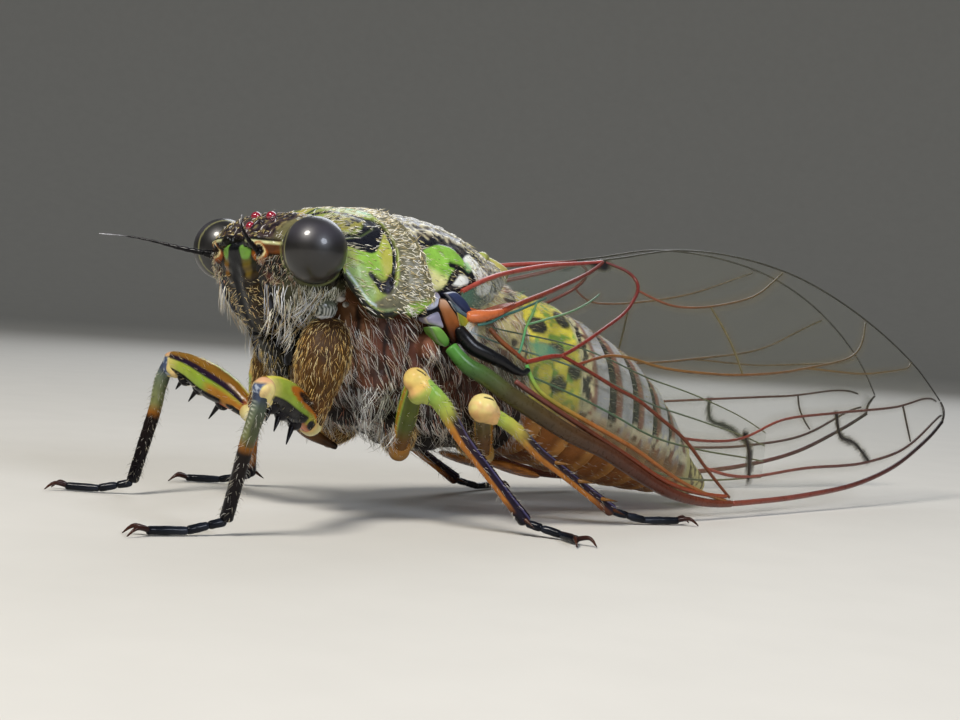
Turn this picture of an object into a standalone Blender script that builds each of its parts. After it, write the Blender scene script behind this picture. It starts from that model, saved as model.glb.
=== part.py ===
"""A life-size chorus cicada at rest, wings folded like a roof over its back.

It faces -Y, its left side is +X and it stands on the floor, +Z up. Sizes are in millimetres, and MM
turns them into metres. The body parts are swept through a few named stations, and the wings are sheets
between a front and a rear edge with their veins raised as ridges.
"""

import math

import bpy
import bmesh
from mathutils import Matrix, Vector, geometry

MM = 0.001

# Gap kept between two parts that touch
GAP = 0.3

# Pitch of the head, whose crown rises to the rear
HEAD_PITCH = math.radians(18.0)

# The crown between the eyes: half width, half length and half height, rise of its sides, and centre
CROWN_HALF = Vector((3.75, 1.75, 2.35))
CROWN_RISE = 0.9
CROWN_CENTRE = Vector((0.0, 0.72, 9.3))

# Lower head beside the face, from the top down: z, front y, back y, half width
CHEEKS = ((9.5, -0.3, 0.5, 0.0), (9.1, -0.85, 1.5, 1.95), (8.3, -0.6, 1.8, 1.95), (7.5, -0.15, 1.75, 1.6),
          (6.8, 0.3, 1.5, 1.2), (6.2, 0.55, 1.3, 0.85), (6.0, 0.8, 1.1, 0.0))

# Eyes
EYE_CENTRE = Vector((3.36, 0.0, 10.2))
EYE_RADIUS = Vector((1.13, 1.2, 1.22))

# Feelers: root in its socket, bend and tip; the left one is raised and the right one held out
FEELER_PATHS = {
    1: ((1.6, -0.8, 9.83), (1.68, -1.45, 10.1), (1.9, -2.0, 10.45), (2.1, -2.35, 10.85), (2.5, -2.6, 11.2)),
    -1: ((-1.65, -0.8, 9.83), (-2.1, -1.65, 9.92), (-2.95, -2.6, 10.15), (-3.85, -3.6, 10.38),
         (-4.75, -4.65, 10.42)),
}
FEELER_RADII = (0.3, 0.28, 0.25, 0.22, 0.1)

# Three simple eyes on the crown: across, along, height, and their radius
OCELLI = ((0.0, -0.72, 10.97), (0.6, -0.14, 11.44), (-0.6, -0.14, 11.44))
OCELLUS_RADIUS = 0.24

# Stations along the body: y, top, height of the widest line, bottom, half width
PRONOTUM = ((0.95, 10.9, 10.4, 10.5, 0.0), (1.05, 11.45, 9.9, 10.4, 3.2), (1.3, 11.68, 9.2, 10.1, 3.6),
            (1.6, 11.85, 8.72, 9.8, 3.8), (1.9, 11.95, 8.3, 9.5, 3.92), (2.25, 12.0, 8.04, 9.3, 4.0),
            (2.6, 12.04, 7.92, 9.2, 4.06), (3.05, 12.06, 7.97, 9.2, 4.1), (3.45, 12.08, 8.13, 9.2, 4.12),
            (3.95, 12.1, 8.0, 9.2, 4.18), (4.4, 12.12, 8.1, 9.2, 4.24), (4.85, 12.1, 8.45, 9.3, 4.28),
            (5.1, 11.9, 8.8, 9.4, 4.15), (5.12, 10.0, 9.6, 9.7, 0.0))
MESONOTUM = ((3.9, 10.6, 9.8, 9.4, 0.0), (4.2, 11.9, 8.85, 8.15, 3.6), (5.2, 12.0, 8.8, 8.05, 3.62),
             (6.3, 11.95, 8.75, 8.0, 3.6), (7.5, 11.68, 8.8, 8.1, 3.3), (8.7, 11.25, 8.9, 8.3, 2.6),
             (9.8, 10.8, 9.2, 8.7, 1.95), (10.8, 10.4, 9.6, 9.2, 1.2), (11.35, 10.15, 9.95, 9.8, 0.5),
             (11.5, 10.05, 9.98, 9.9, 0.0))
THORAX = ((1.45, 7.9, 7.6, 7.3, 0.0), (1.85, 9.3, 7.6, 5.8, 2.6), (2.4, 9.4, 7.5, 4.8, 3.0),
          (3.2, 9.5, 7.3, 3.9, 3.35),
          (5.2, 9.4, 7.1, 3.2, 3.35), (7.2, 9.3, 6.5, 2.8, 3.2), (9.2, 9.2, 5.9, 2.7, 3.0),
          (10.3, 9.3, 5.8, 2.8, 2.8), (10.55, 7.0, 6.0, 5.0, 0.0))

# Rear rim of the front shield: where its collar starts, the rim at the sides and over the back, and the
# angles up from the side between which it steps forward
COLLAR_START = 3.3
RIM_SIDE = 4.8
RIM_TOP = 4.2
RIM_ANGLES = (math.radians(5), math.radians(40))
SHIELD_MIDDLE = 8.4

# Abdomen: y, top, widest, bottom, half width at the rings' ends
ABDOMEN = ((10.9, 9.3, 5.9, 2.8, 2.8), (12.0, 9.35, 5.8, 2.4, 3.2), (13.6, 8.95, 5.4, 1.95, 3.35),
           (15.2, 8.35, 4.9, 1.55, 3.35), (16.8, 7.7, 4.4, 1.2, 3.2), (18.3, 6.95, 3.8, 0.95, 2.95),
           (19.7, 5.9, 3.3, 0.75, 2.6), (21.0, 4.7, 2.7, 0.6, 2.15), (22.3, 3.4, 1.9, 0.5, 1.55))
RING_STEP = 0.05
PYGOFER = ((22.2, 2.0, 1.9, 1.7, 0.0), (22.7, 2.9, 1.8, 0.5, 1.1), (23.6, 2.1, 1.35, 0.42, 0.95),
           (24.5, 1.4, 0.95, 0.4, 0.6), (24.95, 0.85, 0.75, 0.6, 0.0))

# Face stations from the top down: z, front y, back y, half width
POSTCLYPEUS = ((10.45, -1.1, -0.9, 0.0), (10.25, -1.45, 0.0, 1.2), (9.7, -1.42, 0.1, 1.42),
               (9.0, -1.25, 0.2, 1.45), (8.3, -1.0, 0.3, 1.35), (7.65, -0.65, 0.4, 1.15),
               (7.15, -0.28, 0.5, 0.85), (6.95, 0.05, 0.3, 0.0))
FACE_SQUARENESS = 2.6
FACE_RIDGES = 6
FACE_RIDGE_HEIGHT = 0.05
ANTECLYPEUS = ((7.0, 0.2, 0.4, 0.0), (6.75, 0.0, 0.9, 0.65), (6.2, 0.25, 1.1, 0.68),
               (5.6, 0.5, 1.2, 0.5), (5.3, 0.8, 1.1, 0.0))

# Beak, folded back between the fore legs
BEAK_PATH = ((0.0, 0.9, 5.3), (0.0, 1.3, 4.4), (0.0, 2.2, 3.4), (0.0, 3.7, 2.65))
BEAK_RADII = (0.36, 0.36, 0.32, 0.26)

# Raised cross at the rear of the middle shield: two arms on each side
CROSS_ARMS = (((1.35, 9.3, 10.6), (0.15, 10.4, 10.55)), ((0.15, 10.3, 10.55), (0.95, 11.15, 9.95)))
CROSS_RADII = (0.3, 0.34, 0.34, 0.3)

# Plates over the sound organs, with the fall of each per mm and half its thickness
PLATE_FRONT = 10.35
PLATE_LENGTH = 2.3
PLATE_MIDDLE = 1.55
PLATE_HALF = 1.15
PLATE_HEIGHT = 2.25
PLATE_FALL = 0.28
PLATE_DEPTH = 0.26

# Wing edges from root to tip, left side; the sheet between them bows outward
FRONT_EDGE = ((3.95, 5.75, 8.0), (4.65, 6.75, 6.6), (5.15, 8.45, 5.4), (5.5, 10.95, 4.02),
              (5.55, 13.95, 2.63), (5.45, 16.95, 1.33), (5.2, 20.1, 0.73), (4.8, 24.0, 0.7),
              (4.3, 27.9, 0.84), (3.8, 31.95, 1.2), (3.25, 35.8, 2.0), (2.8, 39.05, 3.3), (2.45, 40.95, 4.3))
REAR_EDGE = ((3.55, 6.7, 9.15), (2.9, 8.3, 9.7), (2.1, 10.1, 10.1), (1.3, 12.9, 10.6),
             (0.85, 15.6, 10.95), (0.72, 18.0, 11.35), (0.72, 21.5, 11.95), (0.75, 25.5, 11.95),
             (0.85, 29.5, 11.4), (1.05, 33.0, 10.35), (1.4, 36.3, 8.85), (1.8, 39.1, 7.1), (2.15, 41.2, 5.2))
WING_BOW = 1.2
BOW_WIDTH = 9.0
WING_THICKNESS = 0.5
HINDWING_DEPTH = 1.05
HINDWING_REACH = 0.6

# A vein's height above the sheet on each face, and its half width
VEIN_HEIGHT = 0.15
VEIN_WIDTH = 0.3
COSTA_HEIGHT = 0.25
COSTA_WIDTH = 0.5
RIM_HEIGHT = 0.12
RIM_WIDTH = 0.35

# The wing laid flat: its length, the end of its thick front edge, and the spacing and merging of points
WING_LENGTH = 36.3
NODE_PLACE = 0.53
VEIN_STEP = 1.9
SHEET_COLUMNS = 16
SHEET_ROWS = 6
SPOT_MERGE = 0.05

# Veins as (along, across) places on the sheet: 0 to 1 from root to tip, 0 to 1 from front to rear edge
VEINS = {
    "basal_bar": ((0.03, 0.02), (0.09, 0.13), (0.17, 0.16)),
    "basal_cell": ((0.08, 0.24), (0.12, 0.26), (0.17, 0.19), (0.225, 0.325)),
    "clavus": ((0.03, 0.4), (0.1, 0.52), (0.19, 0.71), (0.28, 0.86), (0.37, 0.985)),
    "radius": ((0.17, 0.15), (0.2, 0.085), (0.28, 0.07), (0.37, 0.075), (0.45, 0.045), (0.52, 0.01)),
    "media": ((0.225, 0.325), (0.3, 0.28), (0.36, 0.27), (0.43, 0.215), (0.48, 0.115), (0.525, 0.02)),
    "media_upper": ((0.25, 0.31), (0.31, 0.43), (0.4, 0.465), (0.54, 0.465), (0.64, 0.52), (0.74, 0.66),
                    (0.8, 0.97)),
    "media_fork": ((0.64, 0.52), (0.76, 0.57), (0.86, 0.75), (0.9, 0.96)),
    "media_lower": ((0.435, 0.205), (0.53, 0.225), (0.6, 0.3), (0.7, 0.345), (0.83, 0.42), (0.95, 0.6)),
    "cubitus": ((0.225, 0.325), (0.3, 0.56), (0.38, 0.74), (0.415, 0.84), (0.41, 0.92), (0.375, 0.98)),
    "cubitus_end": ((0.41, 0.83), (0.46, 0.745), (0.52, 0.745), (0.59, 0.82), (0.65, 0.98)),
    "subradius": ((0.48, 0.115), (0.55, 0.09), (0.65, 0.11), (0.77, 0.1), (0.88, 0.12), (0.97, 0.3)),
    "node_cross": ((0.55, 0.08), (0.548, 0.16), (0.54, 0.235)),
    "outer_cross": ((0.69, 0.34), (0.7, 0.24), (0.73, 0.2), (0.765, 0.1)),
    "inner_cross": ((0.54, 0.465), (0.53, 0.6), (0.515, 0.745)),
}

# Legs, in millimetres; the right fore and middle leg have their own footing.
# Each has hip, trochanter, knee, ankle, and two places along the foot.
LEGS = {
    "fore_left": ((2.2, 1.75, 7.65), (2.45, 0.9, 3.75), (5.35, -3.0, 5.25), (3.85, -3.25, 0.5),
                  (3.6, -4.6, 0.2), (3.25, -5.9, 0.2)),
    "fore_right": ((-2.1, 2.05, 7.3), (-2.3, 1.2, 3.75), (-6.85, -0.25, 5.55), (-6.75, -1.7, 0.5),
                   (-7.5, -2.8, 0.2), (-8.4, -3.8, 0.2)),
    "mid_left": ((1.75, 5.3, 3.9), (2.4, 5.0, 2.75), (5.15, 3.6, 5.8), (6.8, 8.0, 0.5),
                 (7.95, 8.75, 0.2), (9.1, 8.5, 0.2)),
    "mid_right": ((-1.75, 5.3, 3.9), (-2.4, 5.0, 2.75), (-5.7, 3.3, 5.7), (-8.6, 4.9, 0.5),
                  (-9.6, 3.9, 0.2), (-10.4, 2.7, 0.2)),
    "hind_left": ((1.75, 8.7, 3.6), (2.4, 9.3, 2.6), (5.0, 6.95, 4.7), (5.25, 14.0, 0.55),
                  (5.6, 15.5, 0.2), (6.1, 17.0, 0.2)),
    "hind_right": ((-1.75, 8.7, 3.6), (-2.4, 9.3, 2.6), (-5.0, 6.95, 4.7), (-5.25, 14.0, 0.55),
                   (-5.6, 15.5, 0.2), (-6.1, 17.0, 0.2)),
}
FEMUR_RADII = {"fore": (0.4, 0.62, 0.72, 0.55, 0.42), "mid": (0.38, 0.46, 0.52, 0.48, 0.42),
               "hind": (0.36, 0.44, 0.48, 0.5, 0.55)}
TIBIA_RADII = {"fore": (0.36, 0.31, 0.29, 0.28, 0.3), "mid": (0.36, 0.3, 0.28, 0.27, 0.32),
               "hind": (0.36, 0.3, 0.28, 0.27, 0.33)}
TARSUS_RADII = (0.28, 0.3, 0.3, 0.3, 0.26)
COXA_RADII = {"fore": (0.75, 1.0, 0.95, 0.8, 0.5), "mid": (0.7, 0.75, 0.7, 0.6, 0.5),
              "hind": (0.7, 0.75, 0.7, 0.6, 0.5)}
COXA_BOW = {"fore_left": (0.27, -0.33, 0.0), "fore_right": (0.15, 0.3, 0.0)}
FEMUR_ARCH = {"fore": 0.22, "mid": 0.12, "hind": 0.12}
CLAW_LENGTH = 0.75
CLAW_SPREAD = 0.42
CLAW_RADII = (0.16, 0.12, 0.06)
SPINE_LENGTH = 0.75

# Spines: (share of the fore thigh, size) below it, and shares of the hind shin at its side
FEMUR_SPINES = ((0.35, 1.0), (0.62, 0.8), (0.8, 0.6))
HIND_SPINE_PLACES = (0.5, 0.68, 0.86)

# Sides and rings of the swept pieces
LEG_SIDES = 8
LEG_RINGS = 7

# Colour and roughness of each material
MATERIALS = {
    "crown": ("#4A4632", 0.5), "face": ("#23241A", 0.3), "eye": ("#17130F", 0.08),
    "feeler": ("#15130F", 0.35), "green_shield": ("#8DA23C", 0.4),
    "striped_shield": ("#4C4A33", 0.45), "underside": ("#6B4A2E", 0.6),
    "abdomen": ("#7E7660", 0.5), "plate": ("#A26A35", 0.45), "wing": ("#B7B79C", 0.2),
    "leg_green": ("#7F8B35", 0.35), "leg_dark": ("#2B2219", 0.35),
}

COLLECTION = "cicada"
SHARP_ANGLE = math.radians(35)


def between(points, place):
    """The values at place, from 0 to 1, on a smooth curve through evenly spaced rows of values."""
    last = len(points) - 1
    spot = min(max(place, 0.0), 1.0) * last
    index = min(int(spot), last - 1)
    part = spot - index
    rows = (points[max(index - 1, 0)], points[index], points[index + 1], points[min(index + 2, last)])
    values = []
    for a, b, c, d in zip(*rows):
        curve = 2 * b + (c - a) * part + (2 * a - 5 * b + 4 * c - d) * part ** 2
        values.append(0.5 * (curve + (3 * b - a - 3 * c + d) * part ** 3))
    return values


def power(value, exponent):
    """A signed power, which squares a round section off."""
    return math.copysign(abs(value) ** exponent, value)


def clear_scene():
    """Remove what the file opened with."""
    for thing in list(bpy.data.objects):
        bpy.data.objects.remove(thing, do_unlink=True)
    for group in list(bpy.data.collections):
        bpy.data.collections.remove(group)


def new_collection(name):
    group = bpy.data.collections.new(name)
    bpy.context.scene.collection.children.link(group)
    return group


def material(name):
    """The named material, with its colour turned from sRGB to linear."""
    if name in bpy.data.materials:
        return bpy.data.materials[name]
    code, roughness = MATERIALS[name]
    made = bpy.data.materials.new(name)
    made.use_nodes = True
    shader = made.node_tree.nodes["Principled BSDF"]
    levels = [int(code[place:place + 2], 16) / 255 for place in (1, 3, 5)]
    linear = [v / 12.92 if v <= 0.04045 else ((v + 0.055) / 1.055) ** 2.4 for v in levels]
    shader.inputs["Base Color"].default_value = (*linear, 1.0)
    shader.inputs["Roughness"].default_value = roughness
    shader.inputs["Metallic"].default_value = 0.0
    return made


def add_mesh(name, bm, group, look=None):
    """Make an object of a bmesh held in millimetres, a closed one with its faces outward."""
    bmesh.ops.triangulate(bm, faces=bm.faces)
    bm.normal_update()
    if all(edge.is_manifold for edge in bm.edges) and bm.calc_volume(signed=True) < 0:
        bmesh.ops.reverse_faces(bm, faces=bm.faces)
    bm.transform(Matrix.Scale(MM, 4))
    mesh = bpy.data.meshes.new(name)
    bm.to_mesh(mesh)
    bm.free()
    piece = bpy.data.objects.new(name, mesh)
    group.objects.link(piece)
    if look:
        mesh.materials.append(material(look))
        mesh.shade_smooth()
        mesh.set_sharp_from_angle(angle=SHARP_ANGLE)
    return piece


def shaped_ball(name, sides, rings, shape, group, look=None):
    """A closed round form: each vertex of a sphere goes to shape(place along, angle round)."""
    bm = bmesh.new()
    bmesh.ops.create_uvsphere(bm, u_segments=sides, v_segments=rings, radius=1.0)
    for vert in bm.verts:
        along = math.acos(min(max(vert.co.z, -1.0), 1.0)) / math.pi
        angle = math.atan2(vert.co.y, vert.co.x)
        vert.co = Vector(shape(along, angle))
    return add_mesh(name, bm, group, look)


def body_shape(stations, squareness=2.3):
    """Sections across the body, upright, each with its own height above and below the widest line."""
    def shape(along, angle):
        y, top, side, bottom, half = between(stations, along)
        across = power(math.cos(angle), 2 / squareness)
        upward = power(math.sin(angle), 2 / squareness)
        height = (top - side) if upward > 0 else (side - bottom)
        return half * across, y, side + height * upward
    return shape


def front_shield_shape(along, angle):
    """The front shield, whose rear rim steps forward over the back."""
    across, y, height = body_shape(PRONOTUM, 2.4)(along, angle)
    if y > COLLAR_START:
        climb = math.atan2(height - SHIELD_MIDDLE, abs(across))
        share = min(max((climb - RIM_ANGLES[0]) / (RIM_ANGLES[1] - RIM_ANGLES[0]), 0.0), 1.0)
        rim = RIM_SIDE + (RIM_TOP - RIM_SIDE) * share
        y = COLLAR_START + (y - COLLAR_START) * (rim - COLLAR_START) / (PRONOTUM[-1][0] - COLLAR_START)
    return across, y, height


def limb_shape(path, radii, flatness=1.0, floor=None, hint=Vector((0.0, 0.0, 1.0))):
    """Sections square to a path, with rounded ends; below the floor they are pressed flat."""
    length = sum((Vector(b) - Vector(a)).length for a, b in zip(path, path[1:]))
    start_share = max(radii[0] / length, 0.02)
    end_share = max(radii[-1] / length, 0.02)

    def shape(along, angle):
        place = (1 - math.cos(math.pi * along)) / 2
        centre = Vector(between(path, place))
        heading = Vector(between(path, place + 0.02)) - Vector(between(path, place - 0.02))
        heading.normalize()
        side = heading.cross(hint).normalized()
        upward = side.cross(heading)
        radius = between([(r,) for r in radii], place)[0]
        for share, distance in ((start_share, place), (end_share, 1 - place)):
            if distance < share:
                radius *= math.sqrt(max(1 - (1 - distance / share) ** 2, 0.0))
        spot = centre + side * math.cos(angle) * radius * flatness + upward * math.sin(angle) * radius
        if floor is not None:
            spot.z = max(spot.z, floor)
        return spot
    return shape


def evaluated(piece, kind, settings):
    """The mesh that one modifier makes of a piece."""
    modifier = piece.modifiers.new(kind.lower(), kind)
    for key, value in settings.items():
        setattr(modifier, key, value)
    depsgraph = bpy.context.evaluated_depsgraph_get()
    depsgraph.update()
    mesh = bpy.data.meshes.new_from_object(piece.evaluated_get(depsgraph))
    piece.modifiers.clear()
    return mesh


def take_mesh(piece, mesh):
    """Give a piece a new mesh under the old one's name."""
    old = piece.data
    label = old.name
    piece.data = mesh
    bpy.data.meshes.remove(old)
    mesh.name = label
    return piece


def closed_volume(mesh):
    """The volume inside a mesh, or 0 where it isn't closed."""
    bm = bmesh.new()
    bm.from_mesh(mesh)
    closed = all(len(edge.link_faces) == 2 for edge in bm.edges)
    volume = bm.calc_volume(signed=True) if closed and bm.faces else 0.0
    bm.free()
    return volume


def boolean(piece, settings, least, most):
    """Run a Boolean, by the other solver where the first leaves a surface open or a wrong volume."""
    for solver in ("EXACT", "MANIFOLD"):
        mesh = evaluated(piece, "BOOLEAN", dict(settings, solver=solver))
        if least < closed_volume(mesh) < most:
            return take_mesh(piece, mesh)
        bpy.data.meshes.remove(mesh)
    raise ValueError("no clean Boolean on " + piece.name)


def keep_largest(piece):
    """Keep only the largest closed surface of a piece."""
    bm = bmesh.new()
    bm.from_mesh(piece.data)
    waiting = set(bm.faces)
    bodies = []
    while waiting:
        seed = waiting.pop()
        body = {seed}
        edge_of_body = [seed]
        while edge_of_body:
            face = edge_of_body.pop()
            for edge in face.edges:
                for other in edge.link_faces:
                    if other in waiting:
                        waiting.discard(other)
                        body.add(other)
                        edge_of_body.append(other)
        bodies.append(body)
    largest = max(bodies, key=lambda body: sum(face.calc_area() for face in body))
    scraps = [face for face in bm.faces if face not in largest]
    bmesh.ops.delete(bm, geom=scraps, context="FACES")
    bmesh.ops.triangulate(bm, faces=bm.faces)
    bm.to_mesh(piece.data)
    bm.free()
    return piece


def fuse(name, pieces, group, look):
    """Join closed pieces into one body with a union on a collection."""
    first = pieces[0]
    others = new_collection(name + "_parts")
    volumes = [closed_volume(piece.data) for piece in pieces]
    for piece in pieces[1:]:
        group.objects.unlink(piece)
        others.objects.link(piece)
    if others.objects:
        settings = {"operation": "UNION", "operand_type": "COLLECTION", "collection": others}
        boolean(first, settings, max(volumes) * 0.99, sum(volumes) * 1.001)
    for piece in list(others.objects):
        bpy.data.objects.remove(piece, do_unlink=True)
    bpy.data.collections.remove(others)
    first.name = name
    first.data.name = name
    first.data.materials.clear()
    first.data.materials.append(material(look))
    first.data.shade_smooth()
    first.data.set_sharp_from_angle(angle=SHARP_ANGLE)
    return keep_largest(first)


def cut(piece, neighbours, distance=GAP):
    """Cut a seat for each neighbour, wider than it by the gap."""
    for neighbour in neighbours:
        cutter = neighbour.copy()
        cutter.data = neighbour.data.copy()
        bpy.context.scene.collection.objects.link(cutter)
        settings = {"strength": distance * MM, "mid_level": 0.0, "direction": "NORMAL"}
        take_mesh(cutter, evaluated(cutter, "DISPLACE", settings))
        volume = closed_volume(piece.data)
        boolean(piece, {"operation": "DIFFERENCE", "object": cutter}, volume * 0.3, volume * 1.0001)
        bpy.data.objects.remove(cutter, do_unlink=True)
    return keep_largest(piece)


def mirrored(point, side):
    """A left-hand place, or its mirror for side -1."""
    return Vector((point[0] * side, point[1], point[2]))


def cranium_shape(along, angle):
    """The crown between the eyes: sections across the body, tilted to rise to the rear."""
    share = math.cos(math.pi * along)
    narrow = math.sqrt(max(1 - share ** 6, 0.0))
    length = CROWN_HALF.y * (1 - 0.5 * abs(share) ** 3) * narrow
    height = CROWN_HALF.z * (1 - 0.6 * share ** 2) * narrow
    forward = Vector((0.0, math.cos(HEAD_PITCH), math.sin(HEAD_PITCH)))
    upward = Vector((0.0, -math.sin(HEAD_PITCH), math.cos(HEAD_PITCH)))
    centre = CROWN_CENTRE + Vector((CROWN_HALF.x * share, 0.0, 0.0)) + upward * CROWN_RISE * share ** 2
    spot = centre + forward * length * power(math.cos(angle), 0.8)
    return spot + upward * height * power(math.sin(angle), 0.8)


def cheek_shape(along, angle):
    """The lower head beside the face, narrowing to the mouth."""
    z, front, back, half = between(CHEEKS, along)
    return half * math.cos(angle), (front + back) / 2 + (back - front) / 2 * math.sin(angle), z


def make_head(group):
    crown = shaped_ball("crown", 16, 14, cranium_shape, group)
    cheeks = shaped_ball("cheeks", 12, 8, cheek_shape, group)
    pieces = [crown, cheeks]
    for place in OCELLI:
        pieces.append(dome("ocellus", place, OCELLUS_RADIUS, group))
    return fuse("head", pieces, group, "crown")


def dome(name, centre, radius, group):
    """A small ball."""
    def shape(along, angle):
        turn = math.pi * along
        ring = Vector((math.sin(turn) * math.cos(angle), math.sin(turn) * math.sin(angle), math.cos(turn)))
        return Vector(centre) + ring * radius
    return shaped_ball(name, 8, 6, shape, group)


def make_eye(side, name, group):
    def shape(along, angle):
        turn = math.pi * along
        ring = (math.sin(turn) * math.cos(angle), math.sin(turn) * math.sin(angle), math.cos(turn))
        centre = mirrored(EYE_CENTRE, side)
        return Vector([c + r * size for c, r, size in zip(centre, ring, EYE_RADIUS)])
    return shaped_ball(name, 16, 10, shape, group, "eye")


def face_shape(along, angle):
    """The swollen face, with ridges across it."""
    z, front, back, half = between(POSTCLYPEUS, along)
    middle = (front + back) / 2
    depth = (back - front) / 2
    forward = max(-math.sin(angle), 0.0)
    wave = math.cos(2 * math.pi * FACE_RIDGES * along)
    ridge = FACE_RIDGE_HEIGHT * wave * forward * math.sin(math.pi * along)
    across = power(math.cos(angle), 2 / FACE_SQUARENESS)
    return (half + ridge) * across, middle + depth * power(math.sin(angle), 2 / FACE_SQUARENESS) - ridge, z


def lower_face_shape(along, angle):
    z, front, back, half = between(ANTECLYPEUS, along)
    return half * math.cos(angle), (front + back) / 2 + (back - front) / 2 * math.sin(angle), z


def abdomen_shape(along, angle):
    """Rings that each widen a little to the rear and step down to the next."""
    rings = len(ABDOMEN) - 1
    row = round(along * (2 * rings + 1)) - 1
    if row < 0 or row > 2 * rings - 1:
        y, top, side, bottom, half = ABDOMEN[0 if row < 0 else -1]
        return 0.0, y + (-0.05 if row < 0 else 0.15), (top + bottom) / 2
    front_of_ring = row % 2 == 0
    place = (row // 2 + (0.04 if front_of_ring else 0.96)) / rings
    y, top, side, bottom, half = between(ABDOMEN, place)
    step = -RING_STEP if front_of_ring else RING_STEP
    across = power(math.cos(angle), 0.9)
    upward = power(math.sin(angle), 0.9)
    height = (top - side) if upward > 0 else (side - bottom)
    return (half + step) * across, y, side + (height + step) * upward


def wing_spot(side, along, across, lift=0.0):
    """A place on the wing sheet, lifted outward by lift, and the outward direction there."""
    front = Vector(between(FRONT_EDGE, along))
    rear = Vector(between(REAR_EDGE, along))
    before = Vector(between(FRONT_EDGE, along - 0.004)) + Vector(between(REAR_EDGE, along - 0.004))
    after = Vector(between(FRONT_EDGE, along + 0.004)) + Vector(between(REAR_EDGE, along + 0.004))
    chord = rear - front
    outward = chord.cross(after - before).normalized()
    if outward.x < 0:
        outward.negate()
    bow = WING_BOW * min(1.0, chord.length / BOW_WIDTH) * math.sin(math.pi * max(across, 0.0) ** 0.9)
    spot = front + chord * across + outward * (bow + lift)
    return mirrored(spot, side), mirrored(outward, side)


def chord_at(along):
    """The width of the wing from its front to its rear edge."""
    return (Vector(between(REAR_EDGE, along)) - Vector(between(FRONT_EDGE, along))).length


def flat(along, across):
    """A place on the wing sheet, laid out flat in millimetres."""
    return Vector((along * WING_LENGTH, (across - 0.5) * chord_at(along)))


def from_flat(spot):
    """The (along, across) place of a flat spot."""
    along = min(max(spot.x / WING_LENGTH, 0.0), 1.0)
    return along, spot.y / chord_at(along) + 0.5


def flat_line(places):
    """A smooth line through places, as flat points about one vein step apart."""
    spots = [flat(*place) for place in places]
    length = sum((b - a).length for a, b in zip(spots, spots[1:]))
    count = max(2, round(length / VEIN_STEP))
    return [flat(*between(places, step / count)) for step in range(count + 1)]


def beside(line, distance):
    """The line moved sideways."""
    moved = []
    for index, spot in enumerate(line):
        heading = (line[min(index + 1, len(line) - 1)] - line[max(index - 1, 0)]).normalized()
        moved.append(spot + Vector((-heading.y, heading.x)) * distance)
    return moved


def distance_to(line, spot):
    """The distance from a flat spot to a line."""
    nearest = 1e9
    for start, end in zip(line, line[1:]):
        run = end - start
        share = min(max((spot - start).dot(run) / max(run.length_squared, 1e-9), 0.0), 1.0)
        nearest = min(nearest, (start + run * share - spot).length)
    return nearest


def make_wing(name, side, outline, veins, lift, group):
    """A wing as one closed plate that is thicker along its veins and is split alike on both faces.

    outline is a closed loop of flat points, and veins holds (line, height, half width).
    """
    spots = list(outline)
    edges = [(index, (index + 1) % len(outline)) for index in range(len(outline))]
    for line, height, half in veins:
        for shift in (-half, 0.0, half):
            track = [spot for spot in beside(line, shift)
                     if shift == 0.0 or inside(outline, spot, half * 0.6)]
            first = len(spots)
            spots += track
            edges += [(first + step, first + step + 1) for step in range(len(track) - 1)
                      if (track[step + 1] - track[step]).length < 2 * VEIN_STEP]
    for column in range(1, SHEET_COLUMNS):
        for row in range(1, SHEET_ROWS):
            spot = flat(column / SHEET_COLUMNS, row / SHEET_ROWS)
            clear = all(distance_to(line, spot) > half + 0.5 for line, height, half in veins)
            if clear and inside(outline, spot, 0.6):
                spots.append(spot)
    face = [list(range(len(outline)))]
    found = geometry.delaunay_2d_cdt(spots, edges, face, 1, SPOT_MERGE)
    flat_spots, triangles = found[0], found[2]

    bm = bmesh.new()
    faces = {1: [], -1: []}
    for spot in flat_spots:
        along, across = from_flat(spot)
        raised = max(height * max(1 - distance_to(line, spot) / half, 0.0) for line, height, half in veins)
        for turn in (1, -1):
            place = wing_spot(side, along, across, lift + turn * (WING_THICKNESS / 2 + raised))[0]
            faces[turn].append(bm.verts.new(place))
    sides = set()
    for triangle in triangles:
        bm.faces.new([faces[1][corner] for corner in triangle])
        bm.faces.new([faces[-1][corner] for corner in reversed(triangle)])
        for start, end in zip(triangle, triangle[1:] + triangle[:1]):
            sides.add((start, end))
    for start, end in sorted(sides):
        if (end, start) not in sides:
            bm.faces.new((faces[1][end], faces[1][start], faces[-1][start], faces[-1][end]))
    return add_mesh(name, bm, group, "wing")


def inside(outline, spot, margin):
    """Whether a flat spot lies inside a closed outline, clear of it by a margin."""
    crossings = 0
    loop = outline + outline[:1]
    for start, end in zip(loop, loop[1:]):
        if (start.y > spot.y) != (end.y > spot.y):
            if spot.x < start.x + (end.x - start.x) * (spot.y - start.y) / (end.y - start.y):
                crossings += 1
    return crossings % 2 == 1 and distance_to(loop, spot) > margin


def make_forewing(side, name, group):
    front = [flat(step / 18, 0.0) for step in range(19)]
    rear = [flat(1 - step / 18, 1.0) for step in range(19)]
    outline = front + rear
    veins = [(flat_line(places), VEIN_HEIGHT, VEIN_WIDTH) for places in VEINS.values()]
    node = round(NODE_PLACE * 18)
    veins.append((front[:node + 1], COSTA_HEIGHT, COSTA_WIDTH))
    veins.append((front[node:] + rear + front[:1], RIM_HEIGHT, RIM_WIDTH))
    return make_wing(name, side, outline, veins, 0.0, group)


def hind_place(along, share):
    """The hindwing lies folded under the front half of the forewing."""
    narrowing = 1 - 0.6 * (along / HINDWING_REACH) ** 4
    return along, 0.1 + 0.42 * share * narrowing


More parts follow.
